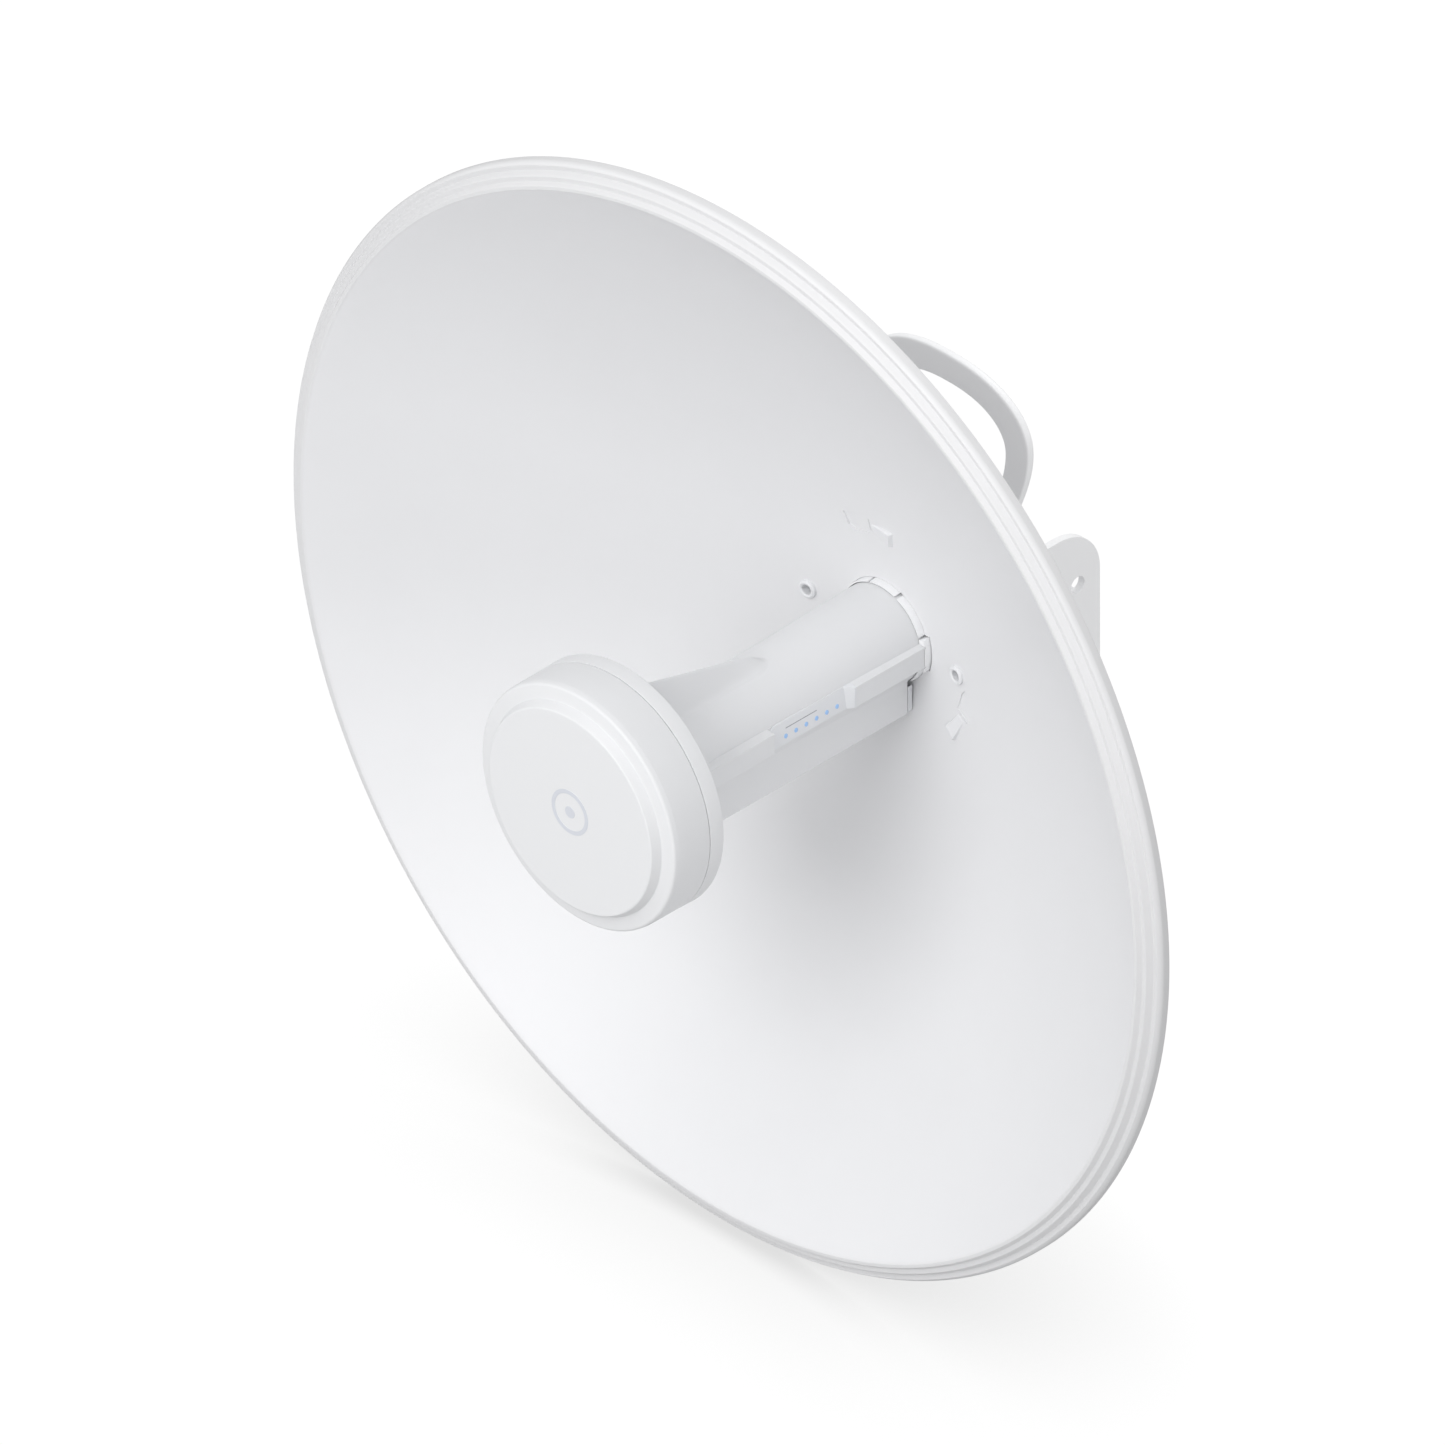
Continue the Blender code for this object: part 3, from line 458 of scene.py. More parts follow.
def merge(target, tools, operation='UNION'):
    """Join or cut with a Boolean, applied, and remove the tools."""
    for tool in tools:
        boolean = target.modifiers.new(operation, 'BOOLEAN')
        boolean.operation = operation
        boolean.solver = 'EXACT'
        boolean.object = tool
    apply_modifiers(target)
    for tool in tools:
        bpy.data.objects.remove(tool, do_unlink=True)


def block(low, high):
    """A plain box used to cut or join."""
    verts = [(x, y, z) for x in (low[0], high[0]) for y in (low[1], high[1])
             for z in (low[2], high[2])]
    faces = [(0, 1, 3, 2), (4, 6, 7, 5), (0, 4, 5, 1), (2, 3, 7, 6), (0, 2, 6, 4), (1, 5, 7, 3)]
    return make("block", verts, faces)


def rod(at, start, end, radius, sides=40, axis='Y'):
    """A round bar used to cut or join, from start to end along its axis."""
    return lathe("rod", [(0, start), (radius, start), (radius, end), (0, end)], steps=sides,
                 axis=axis, at=at)


def even_normals(obj):
    """Weigh the shading normals by face area, so that flat plates look flat."""
    mesh = obj.data
    around = [[] for _ in mesh.vertices]
    for poly in mesh.polygons:
        weighed = (poly.area, poly.normal.copy())
        for v in poly.vertices:
            around[v].append(weighed)
    normals = [None] * len(mesh.loops)
    for poly in mesh.polygons:
        own = poly.normal.copy()
        for corner in poly.loop_indices:
            total = Vector((0.0, 0.0, 0.0))
            for face_area, normal in around[mesh.loops[corner].vertex_index]:
                if normal.dot(own) > 0.69:
                    total += normal * face_area
            normals[corner] = total.normalized() if total.length > 0 else own
    mesh.normals_split_custom_set(normals)


# ------------------------------------------------------------------ reflector
BOWL_CENTRE_Y = 76.6
BOWL_CURVE = 0.00204                 # forward rise per squared mm of radius
BOWL_SKIN = 2.0
BOWL_INNER = 19.4
BOWL_OUTER = 201.3                   # where the front skin meets the rim
BACK_OUTER = 199.0                   # where the back skin meets the rim
PAD_ANGLES = (98.5, -20.4, -141.0)   # where each ramp gives way to a recess, from +X to +Z


def bowl(radius):
    """y of the bowl's front face."""
    return BOWL_CENTRE_Y - BOWL_CURVE * radius * radius


# the stepped rim, out along its front and back in: (radius, y, corner radius)
RIM_PROFILE = [
    (198.0, bowl(198.0)), (BOWL_OUTER, bowl(BOWL_OUTER), 0.35), (202.6, -6.1, 0.35),
    (203.7, -4.2, 0.4), (205.5, -4.5, 0.4), (206.8, -1.8, 0.4), (208.7, -2.3, 0.4),
    (RIM_RADIUS, -0.3, 0.9), (RIM_RADIUS, 2.6, 0.25), (208.6, 2.6, 0.25), (208.3, 0.4, 0.5),
    (205.6, -1.4, 0.6), (203.0, -2.5, 0.6), (200.6, -2.9, 0.8),
    (BACK_OUTER, bowl(BACK_OUTER) + BOWL_SKIN)]


def bowl_profile():
    front = [BOWL_INNER + (BOWL_OUTER - BOWL_INNER) * (i / 64) ** 0.9 for i in range(65)]
    back = [BOWL_INNER + (BACK_OUTER - BOWL_INNER) * (i / 40) for i in range(41)]
    return ([(r, bowl(r)) for r in front if r < 197.9] + fillet(RIM_PROFILE, steps=4)
            + [(r, bowl(r) + BOWL_SKIN) for r in reversed(back) if r < 198.9])


def centre_hole():
    """A round hole with one wide notch to the right and a deeper one below."""
    radius, blend = 19.86, 0.8       # the notch sides blend over 0.8 degrees
    outline = []
    for i in range(720):
        a = i * 0.5
        from_right = abs((a + 180) % 360 - 180)
        right = radius + 2.29 * unit((19.4 - from_right) / blend + 0.5)
        below = radius + 5.34 * unit((14.9 - abs(a - 270)) / blend + 0.5)
        outline.append(polar(max(right, below), a))
    return plate("centre_hole", [outline], 'Y', 60, 90)


def bowl_cutter(inner, outer, start, end, depth, corner=0.0):
    """A cutter that follows the bowl, sunk below its face between two angles.
    With a corner, its inner edge narrows at the end and its floor slopes."""
    steps = 28
    angles = [start + (end - start) * i / steps for i in range(steps + 1)]
    ring = [(outer, a) for a in angles]
    ring += [(inner + corner * max(0.0, 1 - (end - a) / 4.5) ** 1.5, a)
             for a in reversed(angles)]
    verts = []
    for below in (False, True):
        for radius, a in ring:
            lift = depth if below else -3.0
            if below and corner:
                lift = depth * (0.25 + 0.75 * (a - start) / (end - start))
            x, z = polar(radius, a)
            verts.append((x, bowl(radius) + lift, z))
    count = len(ring)
    faces = []
    for k in range(count):
        j = (k + 1) % count
        faces.append((k, j, count + j, count + k))
    for i in range(steps):
        j = count - 1 - i
        faces.append((i, i + 1, j - 1, j))
        faces.append((count + i, count + j, count + j - 1, count + i + 1))
    return make("bowl_cutter", verts, faces)


def true_normals(obj):
    """Give the bowl's front and back skins the normals of the true paraboloid."""
    skin_outer, near, facing = 200.9, 0.03, 0.985    # mm, mm, cosine
    mesh = obj.data
    normals = [Vector(n.vector) for n in mesh.corner_normals]
    for poly in mesh.polygons:
        for corner in poly.loop_indices:
            co = obj.matrix_world @ mesh.vertices[mesh.loops[corner].vertex_index].co
            x, z = co.x / MM, (co.z - AXIS_Z) / MM
            radius = math.hypot(x, z)
            if radius > skin_outer:
                continue
            normal = Vector((2 * BOWL_CURVE * x, 1.0, 2 * BOWL_CURVE * z)).normalized()
            depth = (co.y - RIM_Y) / MM - bowl(radius)
            if abs(depth) < near and poly.normal.dot(normal) < -facing:
                normals[corner] = -normal
            elif abs(depth - BOWL_SKIN) < near and poly.normal.dot(normal) > facing:
                normals[corner] = normal
    mesh.normals_split_custom_set(normals)


def build_reflector():
    dish = lathe("reflector_bowl", bowl_profile(), steps=288)
    cutters = [centre_hole()] + [rod((x, 0, 0), 60, 90, 2.6) for x in (EYELET_X, -EYELET_X)]
    for a in PAD_ANGLES:
        cutters.append(bowl_cutter(38.9, 46.3, a, a + 14.3, depth=0.75, corner=1.8))
        cutters.append(bowl_cutter(40.4, 45.4, a - 2.4, a - 1.1, depth=0.3))
    merge(dish, cutters, 'DIFFERENCE')
    dress(dish, "bowl_steel", "dish", "dish_reflector", sharp=40)
    true_normals(dish)


build_reflector()


# ------------------------------------------------------------------ pressed ramps
def soft_step(value, width):
    """0 below 0, 1 above width, smooth between."""
    t = unit(value / width)
    return t * t * (3 - 2 * t)


def ramp_height(a, radius):
    """The ramp beside each recess: it widens and rises away from it, then drops.
    a is in degrees from the pad angle, and is negative."""
    middle = 41.75                   # radius of the ramp's middle line
    side = 1.7 + 1.6 * unit(-a / 15.0) - abs(radius - middle)
    rise = 0.15 + 1.5 * unit((-a - 2.0) / 12.0)
    to_high_end = math.radians(a + 16.6) * 42.0
    to_low_end = math.radians(-a - 2.5) * 42.0
    return (rise * soft_step(side, 0.7) * soft_step(to_high_end, 1.1)
            * soft_step(to_low_end, 0.4))


def build_ramp(name, pad_angle):
    start, end = -17.2, -1.6         # degrees from the pad angle
    inner, outer = 37.9, 45.6
    around, across = 80, 46          # steps
    radii = [inner + (outer - inner) * j / across for j in range(across + 1)]
    verts, faces = [], []
    for i in range(around + 1):
        a = start + (end - start) * i / around
        for front in (True, False):
            for radius in radii:
                x, z = polar(radius, pad_angle + a)
                lift = 0.05 - ramp_height(a, radius) if front else 0.9
                verts.append((x, bowl(radius) + lift, z))
    back = across + 1                # from a front point to the one behind it
    row = 2 * back
    for i in range(around):
        for j in range(across):
            p, q = i * row + j, (i + 1) * row + j
            faces.append((p, p + 1, q + 1, q))
            faces.append((p + back, q + back, q + back + 1, p + back + 1))
        p, q = i * row, (i + 1) * row
        faces.append((p, q, q + back, p + back))
        p, q = p + across, q + across
        faces.append((p, p + back, q + back, q))
    for i in (0, around):
        for j in range(across):
            p = i * row + j
            face = (p, p + back, p + back + 1, p + 1)
            faces.append(face if i == 0 else tuple(reversed(face)))
    make(name, verts, faces, "painted_steel", "dish")


for i, pad_angle in enumerate(PAD_ANGLES):
    build_ramp(f"pressed_ramp_{i + 1}", pad_angle)

# ------------------------------------------------------------------ eyelets
# (radius, y, corner radius)
EYELET_PROFILE = [
    (1.95, 72.9, 0.25), (2.7, 72.45, 0.5), (3.45, 73.0, 0.3), (3.45, 74.6), (2.5, 74.6),
    (2.5, 84.7), (3.6, 84.7, 0.2), (3.6, 85.3, 0.2), (1.95, 85.6, 0.2)]


def build_eyelet(side, sign):
    eyelet = lathe("eyelet_" + side, fillet(EYELET_PROFILE, closed=True, steps=4), steps=48,
                   at=(sign * EYELET_X, 0, 0))
    # the front collar leans with the bowl
    slope = 2 * BOWL_CURVE * EYELET_X
    for v in eyelet.data.vertices:
        x = (v.co.x / MM) - sign * EYELET_X
        if (v.co.y - RIM_Y) / MM < 75.0:
            v.co.y -= sign * x * slope * MM
    dress(eyelet, "painted_steel", "dish", "hub_eyelet_" + side)


for side, sign in SIDES:
    build_eyelet(side, sign)

# ------------------------------------------------------------------ feed head
HEAD_FACE_Y = -77.3

# the front cap, outside then inside: (radius, y, corner radius)
CAP_PROFILE = [
    (0, HEAD_FACE_Y), (9.0, HEAD_FACE_Y), (18.0, HEAD_FACE_Y), (27.0, HEAD_FACE_Y),
    (34.0, HEAD_FACE_Y), (38.0, HEAD_FACE_Y), (39.2, HEAD_FACE_Y, 0.9), (40.9, -73.7, 0.5),
    (46.6, -73.4, 1.3), (47.0, -71.0, 1.0), (47.0, -56.55, 0.2), (44.8, -56.55),
    (44.6, -70.8, 0.4), (38.6, -71.6, 0.5), (37.4, -75.0, 0.6), (0, -75.0)]
# the rear ring with its floor: (radius, y, corner radius)
HEAD_RING_PROFILE = [
    (42.6, -59.2), (44.4, -59.2), (44.4, -56.25), (47.05, -56.25, 0.2), (47.2, -50.2, 0.5),
    (46.7, -49.8, 0.3), (12.6, -49.8), (12.6, -52.3), (42.6, -52.3)]


def build_head_ring():
    ring = lathe("head_ring", fillet(HEAD_RING_PROFILE, closed=True, steps=4), steps=224)
    posts = [polar(30, a) for a in (90, 210, 330)]
    screws = [polar(21, a) for a in (40, 140, 230, 310)]
    merge(ring, [rod((x, 0, z), -60.6, -51.4, 3.2) for x, z in posts])
    holes = [rod((x, 0, z), -62, -54, 1.5, sides=20) for x, z in posts]
    holes += [rod((x, 0, z), -54, -48, 1.8, sides=20) for x, z in screws]
    merge(ring, holes, 'DIFFERENCE')
    dress(ring, "head_plastic", "feed", "feed_head_base")


def build_face_mark():
    """A plain mark on the face: a ring and a dot."""
    ring = [circle(0, 0, 8.8, 96), list(reversed(circle(0, 0, 7.2, 96)))]
    for name, loops in (("face_mark_ring", ring), ("face_mark_dot", [circle(0, 0, 2.3)])):
        plate(name, loops, 'Y', HEAD_FACE_Y - 0.12, HEAD_FACE_Y + 0.02, "mark", "feed",
              bevel=0.03, segments=1)


lathe("head_cap", fillet(CAP_PROFILE, steps=7), "head_plastic", "feed", "feed_head_cap",
      steps=224)
build_head_ring()
build_face_mark()

# ------------------------------------------------------------------ feed tube
TUBE_FRONT = -49.5
FLARE_Y = -22.0                      # the tube flares in front of this
RAIL_X, RAIL_Z = 21.1, 4.3           # outer face and half height of the side rails
CUT_RAIL_X = 17.3                    # the right rail, cut back for the window
BOX_X, BOX_Z = 13.8, 27.0            # half width and depth of the box underneath
BOX_END = 72.1
ROOM_X, ROOM_Z = 11.4, 24.6          # the same for the room inside the box
ROOM_START, ROOM_END = -42, 69.7
SEAM_TOP, SEAM_LOW = RAIL_Z + 0.02, RAIL_Z   # z of the seam on each half
LONGEST_STEP = 3.2

# the ridge on top of the tube: (y, z of its crest)
GUSSET = [(-49.5, 38.2), (-38.6, 35.0), (-20.0, 29.9), (-1.8, 25.2), (6.0, 22.9),
          (11.0, 21.0), (14.0, 18.9), (16.5, 16.0), (20.0, 8.0)]
# places where stations crowd: (y, reach, shortest step)
UPPER_CROWDING = [(TUBE_FRONT, 14, 0.25), (FLARE_Y, 8, 1.0), (14, 8, 0.35), (73.4, 2, 0.5),
                  (-40, 4, 0.8)]
LOWER_CROWDING = [(TUBE_FRONT, 14, 0.25), (FLARE_Y, 8, 1.0), (73.3, 2, 0.5)]


def tube_radius(y):
    radius = 17.6 + 1.2 * unit((y - 15) / 58.0)
    if y < FLARE_Y:
        share = min(1.0, (FLARE_Y - y) / 27.6)
        radius += 17.0 * (1 - math.sqrt(max(0.0, 1 - share * share)))
    return radius


def bore(y):
    """Inner radius: narrow at the front, then a short cone to the full bore."""
    return 12.8 if y < -42 else (12.8 + 2.1 * (y + 42) / 3 if y < -39 else 14.9)


def gusset_top(y):
    for (y0, z0), (y1, z1) in zip(GUSSET, GUSSET[1:]):
        if y <= y1:
            return z0 + (z1 - z0) * (y - y0) / (y1 - y0)
    return 0.0


def upper_radius(theta, y):
    """The round tube blended with the gusset's tapering wall."""
    across, rise = abs(math.cos(theta)), max(1e-6, math.sin(theta))
    radius = tube_radius(y)
    top = gusset_top(y)
    if top > radius - 4:
        foot_z = 16.0
        crown_half = 0.5
        foot_half = 4.5 + 0.9 * unit((-y - 5) / 44.0)
        if y > 8:
            foot_half *= math.sqrt(max(0.0, 1 - ((y - 8) / 8.4) ** 2))
        taper = max(0.0, foot_half - crown_half) / max(1.0, top - foot_z)
        wall = (crown_half + taper * top) / max(1e-6, across + taper * rise)
        if wall * rise < foot_z:
            wall = math.hypot(foot_half, foot_z) - 1.5 * (foot_z - wall * rise)
        radius = soft_max(radius, soft_min(wall, top / rise, 1.6), 2.6)
    return radius


def stations_along(start, end, crowding):
    """Stations along the tube, closer together near the crowded places."""
    stations = [start]
    while stations[-1] < end:
        y = stations[-1]
        step = LONGEST_STEP
        for middle, reach, least in crowding:
            away = abs(y - middle)
            if away < reach:
                step = min(step, least + (LONGEST_STEP - least) * (away / reach) ** 1.4)
        stations.append(min(end, y + step))
    return stations


def shell(name, section, inner, stations, node, sharp):
    """A half shell: an outer and an inner skin lofted along the tube, closed at
    seams and ends. section(y) and inner(y) give equal numbers of (x, z) points."""
    rings = [[(x, y, z) for x, z in section(y) + inner(y)[::-1]] for y in stations]
    verts, faces = loft(rings)
    count = len(rings[0])
    for first in (0, len(verts) - count):
        for k in range(count // 2 - 1):
            far = first + count - 1 - k
            face = (first + k, first + k + 1, far - 1, far)
            faces.append(tuple(reversed(face)) if first else face)
    make(name, verts, faces, "tube_plastic", "feed", node, sharp=sharp)


def upper_angle_shares():
    """Shares of the way from seam to seam, finer over the gusset."""
    shares = []
    share = 0.0
    while share < 1.0:
        shares.append(share)
        share += 0.0022 if abs(share - 0.5) < 0.12 else 0.0085
    return sorted(set(shares + [1 - s for s in shares] + [0.5, 1.0]))


def lower_theta():
    """Angles from the right seam, down and round to the left seam."""
    right = []
    theta = math.atan2(RAIL_Z, RAIL_X)
    while theta > -math.pi / 2:
        right.append(theta)
        degrees = math.degrees(theta)
        if degrees > 8.5 or -13.0 < degrees < -9.0:
            step = 0.14
        elif -65.5 < degrees < -60.5:
            step = 0.35
        elif -46 < degrees < -34:
            step = 1.0
        else:
            step = 2.0
        theta -= math.radians(step)
    return right + [-math.pi / 2] + [-math.pi - a for a in reversed(right)]


UPPER_SHARES = upper_angle_shares()
LOWER_THETA = lower_theta()


def upper_arc(seam_radius, radius_at):
    seam = math.asin(SEAM_TOP / seam_radius)
    points = []
    for share in UPPER_SHARES:
        theta = seam + (math.pi - 2 * seam) * share
        radius = radius_at(theta)
        points.append((radius * math.cos(theta), radius * math.sin(theta)))
    return points


def upper_section(y):
    points = upper_arc(upper_radius(0.15, y), lambda theta: upper_radius(theta, y))
    points[0] = (points[0][0], SEAM_TOP)
    points[-1] = (points[-1][0], SEAM_TOP)
    return points


def upper_inner(y):
    return upper_arc(bore(y), lambda theta: bore(y))


def lower_section(y):
    """Round below, with a rail at each side and a box underneath."""
    right_cut = 0.61 <= y <= 40.29
    points = []
    for theta in LOWER_THETA:
        c, s = math.cos(theta), math.sin(theta)
        across, rise = max(1e-6, abs(c)), max(1e-6, abs(s))
        rail_x = CUT_RAIL_X if (right_cut and c > 0) else RAIL_X
        rail = soft_min(rail_x / across, RAIL_Z / rise, 0.9)
        radius = soft_max(tube_radius(y), rail, 0.5)
        if s < 0 and y < BOX_END:
            box = soft_min(BOX_X / across, BOX_Z / rise, 1.5)
            radius = soft_max(radius, box, 0.8)
        points.append((radius * c, min(SEAM_LOW, radius * s)))
    points[0] = (points[0][0], SEAM_LOW)
    points[-1] = (points[-1][0], SEAM_LOW)
    return points


def lower_inner(y):
    """The bore, opened downwards into the box's room."""
    points = []
    for theta in LOWER_THETA:
        c, s = math.cos(theta), math.sin(theta)
        radius = bore(y)
        if s < 0 and ROOM_START <= y <= ROOM_END:
            radius = max(radius, min(ROOM_X / max(1e-6, abs(c)), ROOM_Z / max(1e-6, abs(s))))
        points.append((radius * c, min(SEAM_LOW, radius * s)))
    seam_x = math.sqrt(bore(y) ** 2 - SEAM_LOW ** 2)
    points[0] = (seam_x, SEAM_LOW)
    points[-1] = (-seam_x, SEAM_LOW)
    return points


def lower_stations():
    """Even stations, with pairs of close ones where the section jumps."""
    jumps = (ROOM_START, ROOM_END, BOX_END, 0.6, 40.3)
    stations = stations_along(TUBE_FRONT, 73.3, LOWER_CROWDING)
    clear = [round(y, 3) for y in stations if all(abs(y - jump) > 0.3 for jump in jumps)]
    return sorted(set(clear + [-42.05, -41.95, 69.65, 69.75, 71.5, 71.95, 72.1, 72.12, 0.2,
                               0.55, 0.6, 0.62, 40.28, 40.3, 40.35, 40.7]))


shell("tube_upper", upper_section, upper_inner,
      stations_along(TUBE_FRONT, 73.4, UPPER_CROWDING), "feed_tube_upper", sharp=50)
shell("tube_lower", lower_section, lower_inner, lower_stations(), "feed_tube_lower", sharp=45)

# ------------------------------------------------------------------ light window
WINDOW_BACK_X = 17.0
WINDOW_LOW_X, WINDOW_HIGH_X = 19.45, 17.75   # the face leans in towards its top
WINDOW_LOW_Z, WINDOW_HIGH_Z = -4.25, 4.28
WINDOW_TALL = WINDOW_HIGH_Z - WINDOW_LOW_Z
WINDOW_LEAN = WINDOW_LOW_X - WINDOW_HIGH_X
WINDOW_NORMAL = Vector((WINDOW_TALL, 0, WINDOW_LEAN)).normalized()
WINDOW_STATIONS = [
    0.82, 0.86, 0.95, 1.1, 1.3, 1.6, 2.0, 2.5, 3.1, 3.7, 4.4, 8, 12, 18, 24, 30, 34, 36.9,
    37.0, 37.5, 38.0, 38.5, 39.1, 39.4, 39.9, 40.27]

LIGHT_Z = -1.4
LIGHT_STATIONS = [8.2 + 4.95 * i for i in range(6)]
LIGHT_SIDES = 24
LIGHT_RINGS = [(0.86, -0.3), (0.86, 0.0), (0.82, 0.06), (0.66, 0.16), (0.36, 0.23)]
# (radius, height over the window)


def window_section(y):
    """Leans in towards its top; a crisp ramp at its rear rises to the rail's face."""
    low_ramp = unit((y - 37.0) / 2.1)
    high_ramp = unit((y - 37.0) / 2.4)
    low_x = WINDOW_LOW_X + (RAIL_X - WINDOW_LOW_X) * low_ramp
    high_x = WINDOW_HIGH_X + (RAIL_X - WINDOW_HIGH_X) * high_ramp
    low_z, high_z = WINDOW_LOW_Z - 0.04 * low_ramp, WINDOW_HIGH_Z
    if y < 4.4:
        # rounded forward top corner
        drop = (1 - math.sqrt(max(0.0, 1 - ((4.4 - y) / 3.6) ** 2))) * 3.4
        high_x += (low_x - high_x) * drop / 8.5
        high_z -= drop
    return fillet([(WINDOW_BACK_X, high_z), (high_x, high_z, 0.15), (low_x, low_z, 0.3),
                   (WINDOW_BACK_X, low_z)], closed=True, steps=4)


def on_window(y, z):
    """The point of the window's face at (y, z)."""
    x = WINDOW_LOW_X - WINDOW_LEAN * (z - WINDOW_LOW_Z) / WINDOW_TALL
    return Vector((x, y, z))


def build_window():
    rings = [[(x, y, z) for x, z in window_section(y)] for y in WINDOW_STATIONS]
    make("light_window", *loft(rings, capped=True), "grey_plastic", "feed", "led_window")


def build_lights():
    """A row of small domes along the window."""
    along = Vector((0, 1, 0))
    up_face = Vector((-WINDOW_NORMAL.z, 0, WINDOW_NORMAL.x))
    verts, faces = [], []
    for y in LIGHT_STATIONS:
        centre = on_window(y, LIGHT_Z)
        start = len(verts)
        rings = []
        for radius, height in LIGHT_RINGS:
            ring = []
            for k in range(LIGHT_SIDES):
                a = 2 * math.pi * k / LIGHT_SIDES
                ring.append(tuple(centre + along * radius * math.cos(a)
                                  + up_face * radius * math.sin(a) + WINDOW_NORMAL * height))
            rings.append(ring)
        ring_verts, ring_faces = loft(rings)
        verts += ring_verts
        faces += [tuple(start + v for v in face) for face in ring_faces]
        top, low = len(verts), len(verts) + 1
        verts.append(tuple(centre + WINDOW_NORMAL * 0.27))
        verts.append(tuple(centre + WINDOW_NORMAL * -0.3))
        last = top - LIGHT_SIDES
        for k in range(LIGHT_SIDES):
            j = (k + 1) % LIGHT_SIDES
            faces.append((last + k, last + j, top))
            faces.append((start + j, start + k, low))
    make("status_lights", verts, faces, "light_pipe", "feed", "light_pipe")


def build_scale_bar():
    """A thin printed bar on the window."""
    corners = ((8.6, 1.25), (23.6, 1.25), (23.6, 1.55), (8.6, 1.55))    # (y, z)
    verts = [tuple(on_window(y, z) + WINDOW_NORMAL * height)
             for height in (0.03, -0.1) for y, z in corners]
    faces = [(0, 1, 2, 3), (7, 6, 5, 4), (0, 4, 5, 1), (1, 5, 6, 2), (2, 6, 7, 3), (3, 7, 4, 0)]
    make("scale_bar", verts, faces, "scale", "feed")


build_window()
build_lights()
build_scale_bar()

# ------------------------------------------------------------------ hub
# profiles: (radius, y, corner radius)
HUB_PROFILE = [
    (39.5, 75.8, 0.3), (42.0, 75.8, 0.3), (42.0, 81.0, 0.8), (24.0, 81.0, 0.8),
    (24.0, 100.0, 0.3), (21.5, 100.0), (21.5, 82.6), (19.3, 82.6), (19.08, 73.0, 0.12),
    (19.5, 72.95, 0.12), (19.75, 75.9), (19.75, 78.0), (39.5, 78.0)]
REAR_PROFILE = [
    (0, 100.4), (19.0, 100.4), (19.0, 94.0), (20.9, 94.0), (20.9, 100.3), (24.0, 100.3, 0.2),
    (24.0, 102.8, 1.2), (0, 102.8)]
TAIL_PROFILE = [
    (12.9, 66.0), (14.6, 66.0), (14.6, 73.5), (18.78, 73.5), (18.78, 77.0, 0.2), (18.6, 77.4),
    (18.6, 98.0, 0.8), (6.0, 98.0, 0.3), (6.0, 95.8), (16.2, 95.8), (16.2, 76.0), (12.9, 76.0)]
COLLAR_SLITS = ((68.6, 2.1), (107.6, 1.5), (19.4, 1.35), (-20.2, 1.0))
# (middle, half width), in degrees
SCREW_HOLE = 2.85                    # radius of the holes behind the eyelets


def sector(inner, outer, start, end, front, rear, bevel=0.0):
    outline = arc(0, 0, outer, start, end, 24) + arc(0, 0, inner, end, start, 24)
    return plate("sector", [outline], 'Y', front, rear, bevel=bevel, segments=2)


def build_hub():
    hub = lathe("hub_body", fillet(HUB_PROFILE, closed=True, steps=4), steps=240)
    merge(hub, [sector(19.12, 21.65, -18.0, 18.0, 72.98, 78.3, bevel=0.2)])
    cutters = [sector(18.5, 21.3, a - half, a + half, 70.0, 80.0) for a, half in COLLAR_SLITS]
    cutters.append(block((19.0, 70, -4.55), (21.3, 73.5, 4.55)))
    cutters.append(block((-14.6, 70, -30), (14.6, 75.35, -12.9)))
    cutters += [rod((x, 0, 0), 70, 90, SCREW_HOLE) for x in (EYELET_X, -EYELET_X)]
    cutters.append(block((-5, 90, -30), (5, 101, -15)))
    cutters.append(block((-7, 74, -26), (7, 80.6, -15)))
    merge(hub, cutters, 'DIFFERENCE')
    dress(hub, "hub_plastic", "dish", "hub_adapter")


def build_latch():
    """A flat plate below the tube, hollowed round it, with a block behind."""
    outline = fillet([(-13.6, -26.8, 1.0), (13.6, -26.8, 1.0), (13.6, -13.0), (-13.6, -13.0)],
                     closed=True, steps=5)
    latch = plate("latch_plate", [outline], 'Y', 72.4, 74.42)
    merge(latch, [block((-4.6, 73.9, -24.4), (4.6, 79.2, -18.2))])
    merge(latch, [rod((0, 0, -2.1), 60, 90, 19.2, sides=128)], 'DIFFERENCE')
    round_edges(latch, 0.25, 2)
    dress(latch, "grey_plastic", "release_latch", "release_latch")
    even_normals(latch)


def build_rear_cover():
    rear = lathe("rear_cover", fillet(REAR_PROFILE, steps=6), steps=128)
    merge(rear, [block((-7.2, 80, -30), (7.2, 100.15, -13))], 'DIFFERENCE')
    dress(rear, "white_plastic", "dish", "rear_cap")


build_hub()
build_latch()
build_rear_cover()
lathe("tail_plug", fillet(TAIL_PROFILE, closed=True, steps=4), "white_plastic", "feed",
      "feed_tail", steps=160)

# ------------------------------------------------------------------ tilt frame
ARM_X = 27.6                         # outer face of the arms
ARM_TOP, ARM_LOW = 22.3, -80.0
ARM_REAR = 151.3
ARM_CORNER = 20.0
BASE_Y = 81.3
OVERLAP_X, OVERLAP_Z, OVERLAP_Y = 0.2, 0.2, 0.4   # keep joined faces from coinciding


def arc_slot(centre, radius, half, start, end):
    """A slot of half width half, curved about a centre, with round ends."""
    first, last = polar(radius, start, *centre), polar(radius, end, *centre)
    return (arc(*centre, radius + half, start, end, 20)
            + arc(*last, half, end, end + 180, 10)[1:-1]
            + arc(*centre, radius - half, end, start, 20)
            + arc(*first, half, start + 180, start + 360, 10)[1:-1])


